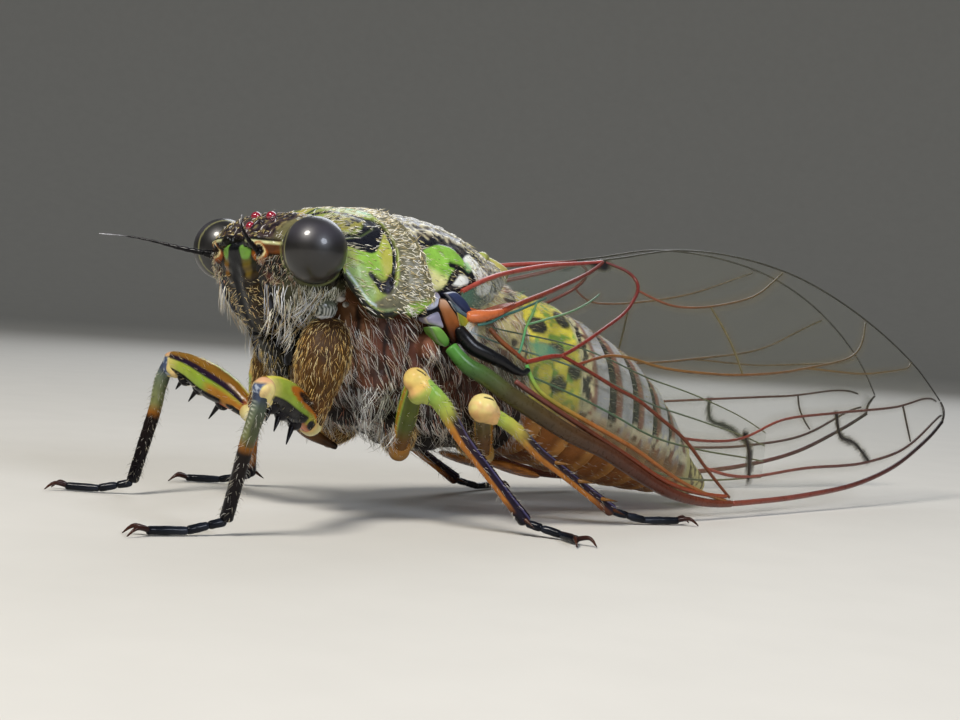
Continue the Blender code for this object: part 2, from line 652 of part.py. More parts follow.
def make_hindwing(side, name, group):
    start = 0.03
    steps = [start + (HINDWING_REACH - start) * step / 10 for step in range(11)]
    front = [flat(*hind_place(along, 0.0)) for along in steps]
    rear = [flat(*hind_place(along, 1.0)) for along in reversed(steps)]
    veins = [(front + rear + front[:1], RIM_HEIGHT * 0.6, RIM_WIDTH)]
    for share in (0.35, 0.7):
        line = [flat(*hind_place(along, share)) for along in steps]
        veins.append((line, VEIN_HEIGHT * 0.6, VEIN_WIDTH))
    return make_wing(name, side, front + rear, veins, -HINDWING_DEPTH, group)


def wing_room(side, group):
    """The room that the forewing takes near the body, as one plain plate."""
    bm = bmesh.new()
    bmesh.ops.create_grid(bm, x_segments=12, y_segments=3, size=0.5)
    for vert in bm.verts:
        vert.co = wing_spot(side, 0.6 * (vert.co.x + 0.5), 1.04 * (vert.co.y + 0.5) - 0.02)[0]
    room = add_mesh("wing_room", bm, group)
    depth = WING_THICKNESS + 2 * RIM_HEIGHT
    return take_mesh(room, evaluated(room, "SOLIDIFY", {"thickness": depth * MM, "offset": 0.0}))


def spine(name, root, tip, radius, group):
    """A short tapered spine from root to tip, its root sunk in what it grows from."""
    path = [Vector(root).lerp(Vector(tip), step / 3) for step in range(4)]
    radii = (radius, radius * 0.8, radius * 0.5, radius * 0.2)
    return shaped_ball(name, 5, 4, limb_shape(path, radii, hint=Vector((0.3, 0.2, 1.0))), group)


def make_leg(key, group):
    """Hip, thigh, shin and foot of one leg."""
    kind = key.split("_")[0]
    hip, trochanter, knee, ankle, mid_foot, toe = [Vector(point) for point in LEGS[key]]
    outward = 1 if hip.x > 0 else -1
    hip_bow = Vector(COXA_BOW.get(key, (0.0, 0.0, 0.0)))
    coxa_path = []
    for share in (0.0, 0.25, 0.5, 0.75, 1.05):
        coxa_path.append(hip.lerp(trochanter, share) + hip_bow * math.sin(math.pi * min(share, 1.0)))
    hip_shape = limb_shape(coxa_path, COXA_RADII[kind])
    coxa = shaped_ball(key + "_coxa", LEG_SIDES, LEG_RINGS, hip_shape, group, "underside")

    femur_path = [trochanter.lerp(knee, share) for share in (0.0, 0.25, 0.5, 0.75, 1.02)]
    for place in (1, 2, 3):
        femur_path[place] = femur_path[place] + Vector((0.0, 0.0, FEMUR_ARCH[kind]))
    thigh = limb_shape(femur_path, FEMUR_RADII[kind], 0.8)
    femur = shaped_ball("femur", LEG_SIDES, LEG_RINGS + 1, thigh, group)
    femur_parts = [femur]
    if kind == "fore":
        below = (knee - trochanter).cross(Vector((0, 0, 1))).cross(knee - trochanter).normalized() * -1
        for share, size in FEMUR_SPINES:
            root = trochanter.lerp(knee, share) + below * 0.25
            tip = root + (below + (knee - trochanter).normalized() * 0.35) * (SPINE_LENGTH * size + 0.25)
            femur_parts.append(spine("femur_spine", root, tip, 0.2, group))
    femur = fuse(key + "_femur", femur_parts, group, "leg_green")

    tibia_path = [knee.lerp(ankle, share) for share in (0.0, 0.25, 0.5, 0.75, 1.0)]
    bend = Vector((0.15 * outward, 0.0, 0.12))
    tibia_path[1] = tibia_path[1] + bend
    shin = limb_shape(tibia_path, TIBIA_RADII[kind])
    tibia_parts = [shaped_ball("tibia", LEG_SIDES, LEG_RINGS + 1, shin, group)]
    if kind != "fore":
        heading = (ankle - knee).normalized()
        sideways = heading.cross(Vector((0, 0, 1))).normalized()
        for turn in (-1, 1):
            root = ankle - heading * 0.35 + sideways * turn * 0.1
            tip = ankle + heading * 0.15 + sideways * turn * 0.6
            tip.z = max(tip.z, 0.25)
            tibia_parts.append(spine("spur", root, tip, 0.15, group))
    if kind == "hind":
        for share in HIND_SPINE_PLACES:
            root = knee.lerp(ankle, share)
            tip = root + Vector((outward * SPINE_LENGTH, 0.25, 0.1)) + heading * 0.3
            tibia_parts.append(spine("tibia_spine", root, tip, 0.15, group))
    tibia = fuse(key + "_tibia", tibia_parts, group, "leg_green")

    heading = (toe - mid_foot).normalized()
    sideways = heading.cross(Vector((0, 0, 1))).normalized()
    start = ankle.lerp(mid_foot, 0.12)
    start.z = mid_foot.z
    tarsus_path = [start, start.lerp(mid_foot, 0.5), mid_foot, mid_foot.lerp(toe, 0.5), toe]
    foot = limb_shape(tarsus_path, TARSUS_RADII, 1.0, 0.0)
    tarsus_parts = [shaped_ball("foot", LEG_SIDES, LEG_RINGS + 2, foot, group)]
    for turn in (-1, 1):
        bow = toe + heading * CLAW_LENGTH * 0.5 + sideways * turn * 0.3 + Vector((0, 0, 0.06))
        tip = toe + heading * CLAW_LENGTH + sideways * turn * CLAW_SPREAD - Vector((0, 0, 0.12))
        path = [toe - heading * 0.15, bow, tip]
        claw = limb_shape(path, CLAW_RADII, 1.0, 0.02)
        tarsus_parts.append(shaped_ball("claw", 5, 4, claw, group))
    tarsus = fuse(key + "_tarsus", tarsus_parts, group, "leg_dark")
    return coxa, femur, tibia, tarsus


def make_operculum(side, name, group):
    """The plate that covers the sound organ under the first rings."""
    def shape(along, angle):
        run = PLATE_LENGTH * (1 - math.cos(math.pi * along)) / 2
        swell = math.sin(math.pi * along) ** 0.7
        across = side * (PLATE_MIDDLE + PLATE_HALF * swell * math.cos(angle))
        height = PLATE_HEIGHT - PLATE_FALL * run + PLATE_DEPTH * swell * math.sin(angle)
        return across, PLATE_FRONT + run, height
    return shaped_ball(name, 10, 7, shape, group, "plate")


def make_cross(group):
    """The raised cross at the rear of the middle shield."""
    pieces = []
    for side in (-1, 1):
        for start, end in CROSS_ARMS:
            path = [mirrored(Vector(start).lerp(Vector(end), step / 3), side) for step in range(4)]
            pieces.append(shaped_ball("cross", 6, 5, limb_shape(path, CROSS_RADII), group))
    return pieces


def make_feeler(side, name, group):
    return shaped_ball(name, 8, 9, limb_shape(FEELER_PATHS[side], FEELER_RADII), group, "feeler")


def both_sides(maker, name, group):
    """A left and a right part from one maker."""
    return [maker(1, name + "_left", group), maker(-1, name + "_right", group)]


def build():
    clear_scene()
    group = new_collection(COLLECTION)

    head = make_head(group)
    face = shaped_ball("postclypeus", 14, 22, face_shape, group, "face")
    lower_face = shaped_ball("anteclypeus", 10, 7, lower_face_shape, group, "face")
    eyes = both_sides(make_eye, "eye", group)
    feelers = both_sides(make_feeler, "antenna", group)
    beak = shaped_ball("rostrum", 8, 8, limb_shape(BEAK_PATH, BEAK_RADII), group, "face")

    pronotum = shaped_ball("pronotum", 24, 16, front_shield_shape, group, "green_shield")
    shield = shaped_ball("shield", 22, 12, body_shape(MESONOTUM), group)
    mesonotum = fuse("mesonotum", [shield] + make_cross(group), group, "striped_shield")
    thorax = shaped_ball("thorax", 18, 12, body_shape(THORAX, 2.6), group, "underside")
    abdomen = shaped_ball("abdomen", 20, 2 * len(ABDOMEN) - 1, abdomen_shape, group, "abdomen")
    pygofer = shaped_ball("pygofer", 12, 7, body_shape(PYGOFER, 2.1), group, "abdomen")
    plates = both_sides(make_operculum, "operculum", group)

    both_sides(make_forewing, "forewing", group)
    hindwings = both_sides(make_hindwing, "hindwing", group)
    rooms = [wing_room(side, group) for side in (1, -1)]
    legs = {key: make_leg(key, group) for key in LEGS}

    cut(head, [face] + eyes + feelers + [lower_face])
    cut(face, [lower_face])
    cut(lower_face, [beak])
    cut(pronotum, [head] + eyes)
    cut(mesonotum, [pronotum])
    cut(mesonotum, rooms)
    cut(thorax, [head, pronotum, mesonotum, beak])
    cut(thorax, rooms)
    cut(thorax, hindwings)
    cut(mesonotum, hindwings)
    cut(abdomen, [thorax, mesonotum, pygofer] + plates)
    cut(abdomen, rooms)
    for coxa, femur, tibia, tarsus in legs.values():
        cut(thorax, [coxa])
        cut(coxa, [head, femur])
        cut(femur, [tibia])
        cut(tibia, [tarsus])
    for coxa, femur, tibia, tarsus in legs.values():
        cut(abdomen, [coxa])
    for room in rooms:
        bpy.data.objects.remove(room, do_unlink=True)
    stand_on_origin(group)


def stand_on_origin(group):
    """Hang every part on one empty that puts the middle of the model's footprint on the origin."""
    stance = bpy.data.objects.new("stance", None)
    group.objects.link(stance)
    corners = [vert.co for piece in group.objects if piece.type == "MESH" for vert in piece.data.vertices]
    low = [min(corner[axis] for corner in corners) for axis in range(3)]
    high = [max(corner[axis] for corner in corners) for axis in range(3)]
    stance.location = (-(low[0] + high[0]) / 2, -(low[1] + high[1]) / 2, -low[2])
    for piece in group.objects:
        if piece.type == "MESH":
            piece.parent = stance


build()
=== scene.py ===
"""The looks of a life-size chorus cicada, built round its solid frame.

Places are in millimetres in the insect's own frame: x from its middle plane (its left is +X), y from its
eyes towards the wing tips, z from the floor. TO_ROW turns them into the frame's metres. The pieces are
swept forms, and each point's colour is worked out from its place and kept in the attribute "paint".
"""

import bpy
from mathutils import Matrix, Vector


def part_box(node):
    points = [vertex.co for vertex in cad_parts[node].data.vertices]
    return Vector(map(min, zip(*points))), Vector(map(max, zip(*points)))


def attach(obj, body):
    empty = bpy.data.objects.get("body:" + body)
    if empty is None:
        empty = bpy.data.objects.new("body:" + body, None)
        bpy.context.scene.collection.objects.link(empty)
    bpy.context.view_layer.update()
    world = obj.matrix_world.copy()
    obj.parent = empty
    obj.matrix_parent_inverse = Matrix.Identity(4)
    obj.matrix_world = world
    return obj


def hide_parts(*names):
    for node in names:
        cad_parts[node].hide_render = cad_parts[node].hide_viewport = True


bl_info = {
    "name": "Chorus cicada",
    "version": (1, 0, 0),
    "blender": (4, 5, 0),
    "location": "View3D > Sidebar > Cicada",
    "description": "Dresses the solid frame of a chorus cicada",
    "category": "Add Mesh",
}

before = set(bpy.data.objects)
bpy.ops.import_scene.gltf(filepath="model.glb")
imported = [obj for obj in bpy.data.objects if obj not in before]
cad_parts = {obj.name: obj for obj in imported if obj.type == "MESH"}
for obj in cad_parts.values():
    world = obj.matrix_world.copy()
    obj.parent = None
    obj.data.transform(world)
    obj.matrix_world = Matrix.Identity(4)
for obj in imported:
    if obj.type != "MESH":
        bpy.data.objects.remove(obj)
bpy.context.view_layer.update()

import math

import bmesh
import bpy
import numpy as np
from mathutils import Matrix, Vector, noise

MM = 0.001


def middle(node):
    """The middle of a CAD node's box, in metres."""
    low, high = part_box(node)
    return (low + high) / 2


# The insect's own frame starts on the floor, under the middle of its two eyes
ORIGIN = (middle("eye_left") + middle("eye_right")) / 2
ORIGIN.z = 0.0
TO_ROW = Matrix.Translation(ORIGIN) @ Matrix.Scale(MM, 4)

# Camera, in the insect's frame: place in millimetres, turn, downward tilt and roll, and lens
CAMERA_PLACE = (49.279, -28.946, 7.979)
CAMERA_TURN = math.radians(51.197)
CAMERA_TILT = math.radians(1.453)
CAMERA_ROLL = math.radians(3.758)

# Head
EYE = (middle("eye_left") - ORIGIN) / MM
EYE_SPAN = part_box("eye_left")[1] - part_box("eye_left")[0]
HEAD_PITCH = math.radians(18.0)
CROWN_HALF = Vector((3.75, 1.75, 2.35))
CROWN_RISE = 0.9
CROWN_CENTRE = Vector((0.0, 0.72, 9.3))
CHEEKS = ((9.5, -0.3, 0.5, 0.0), (9.1, -0.85, 1.5, 1.95), (8.3, -0.6, 1.75, 1.9), (7.5, -0.15, 1.65, 1.5),
          (6.8, 0.3, 1.4, 1.05), (6.2, 0.55, 1.2, 0.75), (6.0, 0.8, 1.0, 0.0))
OCELLI = ((0.05, -0.8, 10.98), (0.56, -0.24, 11.42), (-0.6, -0.22, 11.42))
SOCKET = Vector((1.63, -0.97, 9.87))
FEELER_LEFT = ((1.6, -0.95, 9.85), (1.66, -1.4, 10.08), (1.86, -1.85, 10.36), (2.02, -2.2, 10.68),
               (2.2, -2.42, 10.95), (2.52, -2.6, 11.22))
FEELER_RIGHT = ((-1.65, -0.95, 9.85), (-2.0, -1.6, 9.93), (-2.6, -2.3, 10.06), (-3.3, -3.05, 10.25),
                (-4.0, -3.8, 10.38), (-4.75, -4.65, 10.42))
POSTCLYPEUS = ((10.45, -1.0, -0.8, 0.0), (10.2, -1.42, 0.0, 1.2), (9.7, -1.36, 0.0, 1.42), (9.1, -1.22, 0.1, 1.42),
               (8.3, -0.95, 0.3, 1.3), (7.7, -0.66, 0.4, 1.15), (7.2, -0.3, 0.5, 0.85), (6.95, 0.0, 0.4, 0.0))
ANTECLYPEUS = ((7.05, 0.15, 0.4, 0.0), (6.75, -0.03, 0.9, 0.66), (6.2, 0.22, 1.15, 0.7), (5.6, 0.5, 1.25, 0.52),
               (5.2, 0.85, 1.2, 0.0))
BEAK_PATH = ((0.0, 0.9, 5.5), (0.0, 1.25, 4.5), (0.0, 2.2, 3.4), (0.0, 3.7, 2.65))

# Stations along the body: y, top, height of the widest line, bottom, half width
PRONOTUM = ((0.75, 10.9, 10.4, 10.5, 0.0), (0.95, 11.45, 9.9, 10.3, 3.2), (1.3, 11.68, 9.2, 9.9, 3.6),
            (1.6, 11.85, 8.72, 9.5, 3.82), (1.9, 11.95, 8.32, 9.2, 3.94), (2.25, 12.0, 8.05, 9.0, 4.02),
            (2.6, 12.04, 7.93, 8.9, 4.07), (3.05, 12.06, 7.98, 8.9, 4.1), (3.45, 12.08, 8.13, 8.9, 4.13),
            (3.95, 12.1, 8.0, 8.9, 4.18), (4.4, 12.12, 8.1, 8.9, 4.24), (4.85, 12.1, 8.45, 9.0, 4.28),
            (5.1, 11.9, 8.8, 9.2, 4.15), (5.12, 10.0, 9.6, 9.7, 0.0))
COLLAR_START = 3.3
COLLAR_RIM = ((-10.0, 4.75), (0.0, 4.8), (10.0, 4.66), (20.0, 4.42), (30.0, 4.35), (41.0, 4.15), (54.0, 4.05),
              (70.0, 4.15), (90.0, 4.25))
MESONOTUM = ((3.6, 10.6, 9.8, 9.4, 0.0), (3.8, 11.8, 8.85, 8.15, 3.6), (5.2, 11.98, 8.8, 8.05, 3.64),
             (6.3, 11.95, 8.75, 8.0, 3.62), (7.5, 11.68, 8.8, 8.1, 3.3), (8.7, 11.25, 8.9, 8.3, 2.6),
             (9.8, 10.8, 9.2, 8.7, 1.95), (10.8, 10.4, 9.6, 9.2, 1.2), (11.35, 10.15, 9.95, 9.8, 0.5),
             (11.5, 10.05, 9.98, 9.9, 0.0))
THORAX = ((1.25, 8.3, 8.0, 7.5, 0.0), (1.75, 9.6, 7.7, 5.7, 2.7), (2.4, 9.8, 7.6, 4.8, 3.15),
          (3.2, 9.8, 7.4, 3.9, 3.45), (5.2, 9.6, 7.1, 3.2, 3.45), (7.2, 9.5, 6.5, 2.8, 3.2),
          (9.2, 9.6, 5.9, 2.7, 3.0), (10.9, 9.5, 5.8, 2.7, 2.85), (11.3, 7.0, 6.0, 5.0, 0.0))
ABDOMEN = ((10.5, 9.5, 5.9, 2.8, 2.75), (12.0, 9.35, 5.8, 2.4, 3.2), (13.6, 8.95, 5.4, 1.95, 3.35),
           (15.2, 8.35, 4.9, 1.55, 3.35), (16.8, 7.7, 4.4, 1.2, 3.2), (18.3, 6.95, 3.8, 0.95, 2.95),
           (19.7, 5.9, 3.3, 0.75, 2.6), (21.0, 4.7, 2.7, 0.6, 2.15), (22.4, 3.4, 1.9, 0.5, 1.5))
PYGOFER = ((21.9, 2.6, 1.9, 1.2, 0.0), (22.4, 3.1, 1.8, 0.5, 1.3), (23.6, 2.1, 1.35, 0.42, 0.95),
           (24.5, 1.4, 0.95, 0.4, 0.6), (24.95, 0.85, 0.75, 0.6, 0.0))
KNOB = Vector((3.55, 5.15, 6.95))
SHIELD_MIDDLE = 8.4
SHIELD_RADIUS = 3.8

# Wings, left side, from root to tip
FRONT_EDGE = ((3.95, 5.75, 8.0), (4.65, 6.75, 6.6), (5.15, 8.45, 5.4), (5.5, 10.95, 4.02),
              (5.55, 13.95, 2.63), (5.45, 16.95, 1.33), (5.2, 20.1, 0.73), (4.8, 24.0, 0.7),
              (4.3, 27.9, 0.84), (3.8, 31.95, 1.2), (3.25, 35.8, 2.0), (2.8, 39.05, 3.3), (2.45, 40.95, 4.3))
REAR_EDGE = ((3.55, 6.7, 9.15), (2.9, 8.3, 9.7), (2.1, 10.1, 10.1), (1.3, 12.9, 10.6),
             (0.85, 15.6, 10.95), (0.72, 18.0, 11.35), (0.72, 21.5, 11.95), (0.75, 25.5, 11.95),
             (0.85, 29.5, 11.4), (1.05, 33.0, 10.35), (1.4, 36.3, 8.85), (1.8, 39.1, 7.1), (2.15, 41.2, 5.2))
WING_BOW = 1.2
BOW_WIDTH = 9.0
HINDWING_DEPTH = 1.05
HINDWING_REACH = 0.6
NODE_PLACE = 0.53

# Veins of the forewing as (along, across) places, with the radius and the colours from root to tip
VEINS = {
    "strut": (((0.088, 0.32), (0.113, 0.263), (0.143, 0.225), (0.17, 0.195)), 0.13, ("#5E341A", "#74401E", "#7A301E")),
    "basal_cell": (((0.17, 0.195), (0.193, 0.258), (0.21, 0.3), (0.225, 0.325)), 0.12, ("#7A2A1C", "#74281C")),
    "arculus": (((0.15, 0.2), (0.157, 0.25), (0.163, 0.388), (0.17, 0.475), (0.2, 0.7)), 0.07,
                ("#4A7E70", "#46805E", "#5A8A50", "#6A8A5E")),
    "basal_rear": (((0.063, 0.288), (0.09, 0.4), (0.115, 0.5), (0.16, 0.6), (0.217, 0.725)), 0.07,
                   ("#3E6A62", "#35605A", "#3E5E52")),
    "anal_fold": (((0.17, 0.475), (0.213, 0.562), (0.26, 0.65), (0.323, 0.788)), 0.06, ("#5A8A5E", "#64845C", "#4E6A54")),
    "clavus": (((0.04, 0.33), (0.11, 0.537), (0.177, 0.688), (0.28, 0.86), (0.37, 0.985)), 0.14,
               ("#A8502A", "#8E3E26", "#6E3026", "#62302A")),
    "inner_margin": (((0.0, 0.97), (0.08, 0.985), (0.18, 0.99), (0.28, 0.99), (0.37, 0.985)), 0.13,
                     ("#A04638", "#8A3A34")),
    "radius": (((0.172, 0.18), (0.186, 0.11), (0.21, 0.07), (0.28, 0.07), (0.37, 0.075), (0.45, 0.045), (0.52, 0.01)), 0.12,
               ("#4E9A4E", "#8F9A3C", "#9A5E2A", "#8E5428", "#8A5A30")),
    "media": (((0.225, 0.325), (0.3, 0.28), (0.36, 0.27), (0.43, 0.215), (0.48, 0.115), (0.525, 0.02)), 0.1,
              ("#6E281C", "#66301E", "#6E3C22")),
    "media_upper": (((0.25, 0.31), (0.31, 0.43), (0.4, 0.465), (0.54, 0.465), (0.64, 0.52), (0.74, 0.66),
                     (0.8, 0.97)), 0.08, ("#6E2E1E", "#7E5A2A", "#6E4A2A", "#5B4A30", "#4A4632")),
    "media_fork": (((0.64, 0.52), (0.76, 0.57), (0.86, 0.75), (0.9, 0.96)), 0.07, ("#6B5636", "#4E4A38")),
    "media_lower": (((0.435, 0.205), (0.53, 0.225), (0.6, 0.3), (0.7, 0.345), (0.83, 0.42), (0.95, 0.6)), 0.08,
                    ("#6E3A2E", "#74382C", "#553830", "#332E28")),
    "cubitus": (((0.225, 0.325), (0.3, 0.56), (0.38, 0.74), (0.415, 0.84), (0.41, 0.92), (0.375, 0.98)), 0.1,
                ("#74281C", "#6A2620", "#662824", "#5E2824")),
    "cubitus_end": (((0.41, 0.83), (0.46, 0.745), (0.52, 0.745), (0.59, 0.82), (0.65, 0.98)), 0.07,
                    ("#7A3E2A", "#62482C", "#4E482E")),
    "subradius": (((0.48, 0.115), (0.55, 0.09), (0.65, 0.11), (0.77, 0.1), (0.88, 0.12), (0.97, 0.3)), 0.09,
                  ("#8A4A3A", "#5A3A34", "#33302C")),
    "node_cross": (((0.55, 0.08), (0.548, 0.16), (0.54, 0.235)), 0.08, ("#2C2622", "#2C2622")),
    "outer_cross": (((0.69, 0.34), (0.7, 0.24), (0.73, 0.2), (0.765, 0.1)), 0.08, ("#26221F", "#26221F")),
    "inner_cross": (((0.54, 0.465), (0.53, 0.6), (0.515, 0.745)), 0.06, ("#5C5436", "#5C5436")),
    "apex_cross": (((0.83, 0.42), (0.84, 0.3), (0.86, 0.13)), 0.06, ("#3C352E", "#3C352E")),
}
HIND_VEINS = ((0.35, 0.045, "#4E6E50"), (0.7, 0.04, "#4E6A5E"))
EDGE_COLOURS = ("#4E8A3A", "#3E5C2C", "#443E22", "#46341E", "#462A1A", "#4A2618", "#54281A", "#5E2E1E", "#6A3422")
EDGE_ROOT = ((0.03, -0.35), (0.06, -0.24), (0.1, -0.11), (0.15, -0.08), (0.2, -0.05), (0.25, -0.03))

# Legs: hip, trochanter, knee, ankle, and two places along the foot
LEGS = {
    "fore_left": ((2.2, 1.75, 7.65), (2.45, 0.9, 3.75), (5.35, -3.0, 5.25), (3.85, -3.25, 0.5),
                  (3.6, -4.6, 0.2), (3.25, -5.9, 0.2)),
    "fore_right": ((-2.1, 2.05, 7.3), (-2.3, 1.2, 3.75), (-6.85, -0.25, 5.55), (-6.75, -1.7, 0.5),
                   (-7.5, -2.8, 0.2), (-8.4, -3.8, 0.2)),
    "mid_left": ((1.75, 5.3, 3.9), (2.4, 5.0, 2.75), (5.15, 3.6, 5.8), (6.8, 8.0, 0.5),
                 (7.95, 8.75, 0.2), (9.1, 8.5, 0.2)),
    "mid_right": ((-1.75, 5.3, 3.9), (-2.4, 5.0, 2.75), (-5.7, 3.3, 5.7), (-8.6, 4.9, 0.5),
                  (-9.6, 3.9, 0.2), (-10.4, 2.7, 0.2)),
    "hind_left": ((1.75, 8.7, 3.6), (2.4, 9.3, 2.6), (5.0, 6.95, 4.7), (5.25, 14.0, 0.55),
                  (5.6, 15.5, 0.2), (6.1, 17.0, 0.2)),
    "hind_right": ((-1.75, 8.7, 3.6), (-2.4, 9.3, 2.6), (-5.0, 6.95, 4.7), (-5.25, 14.0, 0.55),
                   (-5.6, 15.5, 0.2), (-6.1, 17.0, 0.2)),
}
KNEE_SHARE = {"fore": 0.84, "mid": 1.0, "hind": 1.12}
KNEE_LOBES = {
    "fore": ((-0.1, 0.0, 0.0, 1.0), (-0.12, 0.28, 0.0, 0.9), (-0.42, 0.12, 0.18, 0.66)),
    "mid": ((-0.15, 0.0, 0.0, 0.96), (-0.1, 0.3, 0.0, 0.92), (0.0, 0.55, 0.05, 0.82), (0.0, 0.25, 0.34, 0.84),
            (-0.35, 0.2, 0.3, 0.7), (-0.1, 0.85, 0.0, 0.66)),
    "hind": ((0.0, 0.0, 0.0, 1.02), (0.0, 0.35, 0.0, 0.8), (0.0, 0.62, 0.0, 0.62)),
}
COXA_RADII = {"fore": (0.78, 1.0, 0.92, 0.66, 0.36), "mid": (0.7, 0.75, 0.7, 0.6, 0.5),
              "hind": (0.7, 0.75, 0.7, 0.6, 0.5)}
COXA_BOW = {"fore_left": (0.27, -0.33, 0.0), "fore_right": (0.15, 0.3, 0.0)}
FEMUR_RADII = {"fore": (0.36, 0.6, 0.7, 0.56, 0.4), "mid": (0.34, 0.44, 0.5, 0.46, 0.38),
               "hind": (0.34, 0.42, 0.47, 0.46, 0.46)}
FEMUR_ARCH = {"fore": 0.22, "mid": 0.12, "hind": 0.12}
COLLAR_STOPS = {"fore": ((0.0, "#3A2418"), (0.35, "#D8CF9A"), (0.6, "#C8B878"), (1.0, "#A8602E")),
                "mid": ((0.0, "#2A1A12"), (0.5, "#9A7038"), (1.0, "#A8702A")),
                "hind": ((0.0, "#2A1A12"), (0.5, "#A88A50"), (1.0, "#A8782E"))}
TIBIA_RADII = {"fore": (0.26, 0.3, 0.28, 0.27, 0.26, 0.26), "mid": (0.3, 0.34, 0.28, 0.25, 0.24, 0.28),
               "hind": (0.27, 0.28, 0.26, 0.24, 0.24, 0.29)}
FEMUR_SPINES = ((0.35, 1.0), (0.62, 0.8), (0.8, 0.6))

# Colours from root to tip of each part of the legs, as (share, colour)
LEG_COLOURS = {
    "fore_femur": ((0.0, "#A86A2C"), (0.1, "#A8923C"), (0.4, "#7E9C34"), (0.8, "#98A83E"), (0.95, "#DCC97C")),
    "mid_femur": ((0.0, "#A8702A"), (0.2, "#C08A34"), (0.4, "#92B444"), (0.85, "#9CC04E"), (0.95, "#EBDD9A")),
    "hind_femur": ((0.0, "#B9853A"), (0.4, "#B8802E"), (0.7, "#A99A45"), (0.95, "#EBD79A")),
    "fore_tibia": ((0.0, "#3E4860"), (0.1, "#3E4658"), (0.16, "#5C6656"), (0.36, "#72764A"), (0.43, "#80501E"),
                   (0.48, "#1A1412"), (1.0, "#0C0B0F")),
    "mid_tibia": ((0.0, "#A9BC58"), (0.12, "#7FA64A"), (0.27, "#A9A84A"), (0.4, "#C08A3A"), (0.55, "#5E3A3A"),
                  (0.8, "#33242C"), (0.92, "#16131C"), (1.0, "#101018")),
    "hind_tibia": ((0.0, "#E6D48C"), (0.1, "#9DB04C"), (0.25, "#B7A24A"), (0.5, "#C98A44"), (0.8, "#8A4E2C"),
                   (1.0, "#33231F")),
}


def linear(code):
    """An sRGB hex colour as linear red, green and blue; a colour that is linear already stays."""
    if not isinstance(code, str):
        return list(code)
    levels = [int(code[place:place + 2], 16) / 255 for place in (1, 3, 5)]
    return [v / 12.92 if v <= 0.04045 else ((v + 0.055) / 1.055) ** 2.4 for v in levels]


def tint_value(name, description, code):
    """A colour in the panel, whose default is an sRGB hex colour."""
    return bpy.props.FloatVectorProperty(name=name, description=description, default=linear(code), size=3,
                                         min=0.0, max=1.0, subtype="COLOR")


def size_value(name, description, millimetres):
    """A length in the panel, in metres, whose default is given in millimetres."""
    return bpy.props.FloatProperty(name=name, description=description, default=millimetres * MM, min=0.01 * MM,
                                   soft_max=10 * millimetres * MM, precision=5, unit="LENGTH")


def share_value(name, description, default, most):
    """A plain share in the panel."""
    return bpy.props.FloatProperty(name=name, description=description, default=default, min=0.0, max=most,
                                   subtype="FACTOR")


class CicadaSizes(bpy.types.PropertyGroup):
    """The sizes that a user would change."""
    eye_radii: bpy.props.FloatVectorProperty(
        name="Eye radii", description="Half the width, depth and height of a compound eye", size=3,
        default=EYE_SPAN / 2, min=0.0003, max=0.003, precision=5, unit="LENGTH", subtype="XYZ")
    ocellus_radius: size_value("Simple eye radius", "Radius of each of the three simple eyes", 0.2)
    feeler_radius: size_value("Feeler radius", "Radius of a feeler's thread at its root", 0.11)
    knee_radius: size_value("Knee radius", "Radius of the middle knees; the others follow", 0.5)
    foot_radius: size_value("Foot radius", "Radius of the joints of the feet", 0.16)
    claw_length: size_value("Claw length", "How far a claw reaches past its foot", 0.75)
    film_thickness: size_value("Wing film", "Thickness of the clear film of a wing", 0.03)
    face_ridges: bpy.props.IntProperty(name="Face ridges", description="Cross ridges on the swollen face",
                                       default=11, min=3, max=24)
    vein_width: share_value("Vein width", "Width of the veins between the main ones, as a share", 0.8, 2.0)
    hair_amount: share_value("Hair amount", "How much of the hair grows", 1.0, 1.3)
    hair_length: share_value("Hair length", "Length of the hair, as a share", 1.0, 2.0)


class CicadaColours(bpy.types.PropertyGroup):
    """The colours that a user would change."""
    eye: tint_value("Eye", "Compound eyes", "#0C0908")
    crown: tint_value("Crown", "Top of the head", "#241C22")
    face: tint_value("Face", "Face under its marks", "#17140E")
    shield: tint_value("Front shield", "Green of the front shield", "#8C9A4C")
    figure: tint_value("Figures", "Black figures of the front shield", "#11131C")
    collar: tint_value("Collar", "Collar of the front shield", "#5E5C4A")
    field: tint_value("Side fields", "Lime fields of the middle shield", "#7FAE42")
    wax: tint_value("Wax", "White wax of the middle shield", "#F1F2EA")
    flank: tint_value("Flanks", "Skin of the flanks and chest", "#50342A")
    abdomen: tint_value("Abdomen", "Front of the abdomen", "#D8CC46")
    knee: tint_value("Knees", "Pale lobes of the knees", "#DCCB84")
    film: tint_value("Wing film", "Smoky tint of the wing film", "#70705F")
    silver: tint_value("Silver hair", "Palest hair", "#CFCCC4")
    gold: tint_value("Gold hair", "Golden hair", "#CDB26A")
    cream: tint_value("Cream hair", "Cream hair and fringes", "#E9DFA0")
    paper: tint_value("Paper", "Studio paper", "#CECCC6")


class CicadaStage(bpy.types.PropertyGroup):
    """The light and the lens."""
    lens: bpy.props.FloatProperty(name="Lens", description="Focal length of the camera", default=55.87, min=20.0,
                                  max=200.0, unit="CAMERA")
    key_power: bpy.props.FloatProperty(name="Key lamp", description="Power of the lamp above", default=0.44,
                                       min=0.0, max=5.0, unit="POWER")
    fill_power: bpy.props.FloatProperty(name="Fill lamp", description="Power of the lamp beside the camera",
                                        default=0.16, min=0.0, max=5.0, unit="POWER")
    rim_power: bpy.props.FloatProperty(name="Rim lamp", description="Power of the lamp behind", default=0.12,
                                       min=0.0, max=5.0, unit="POWER")
    sky: share_value("Sky", "Strength of the light from all round", 0.17, 2.0)


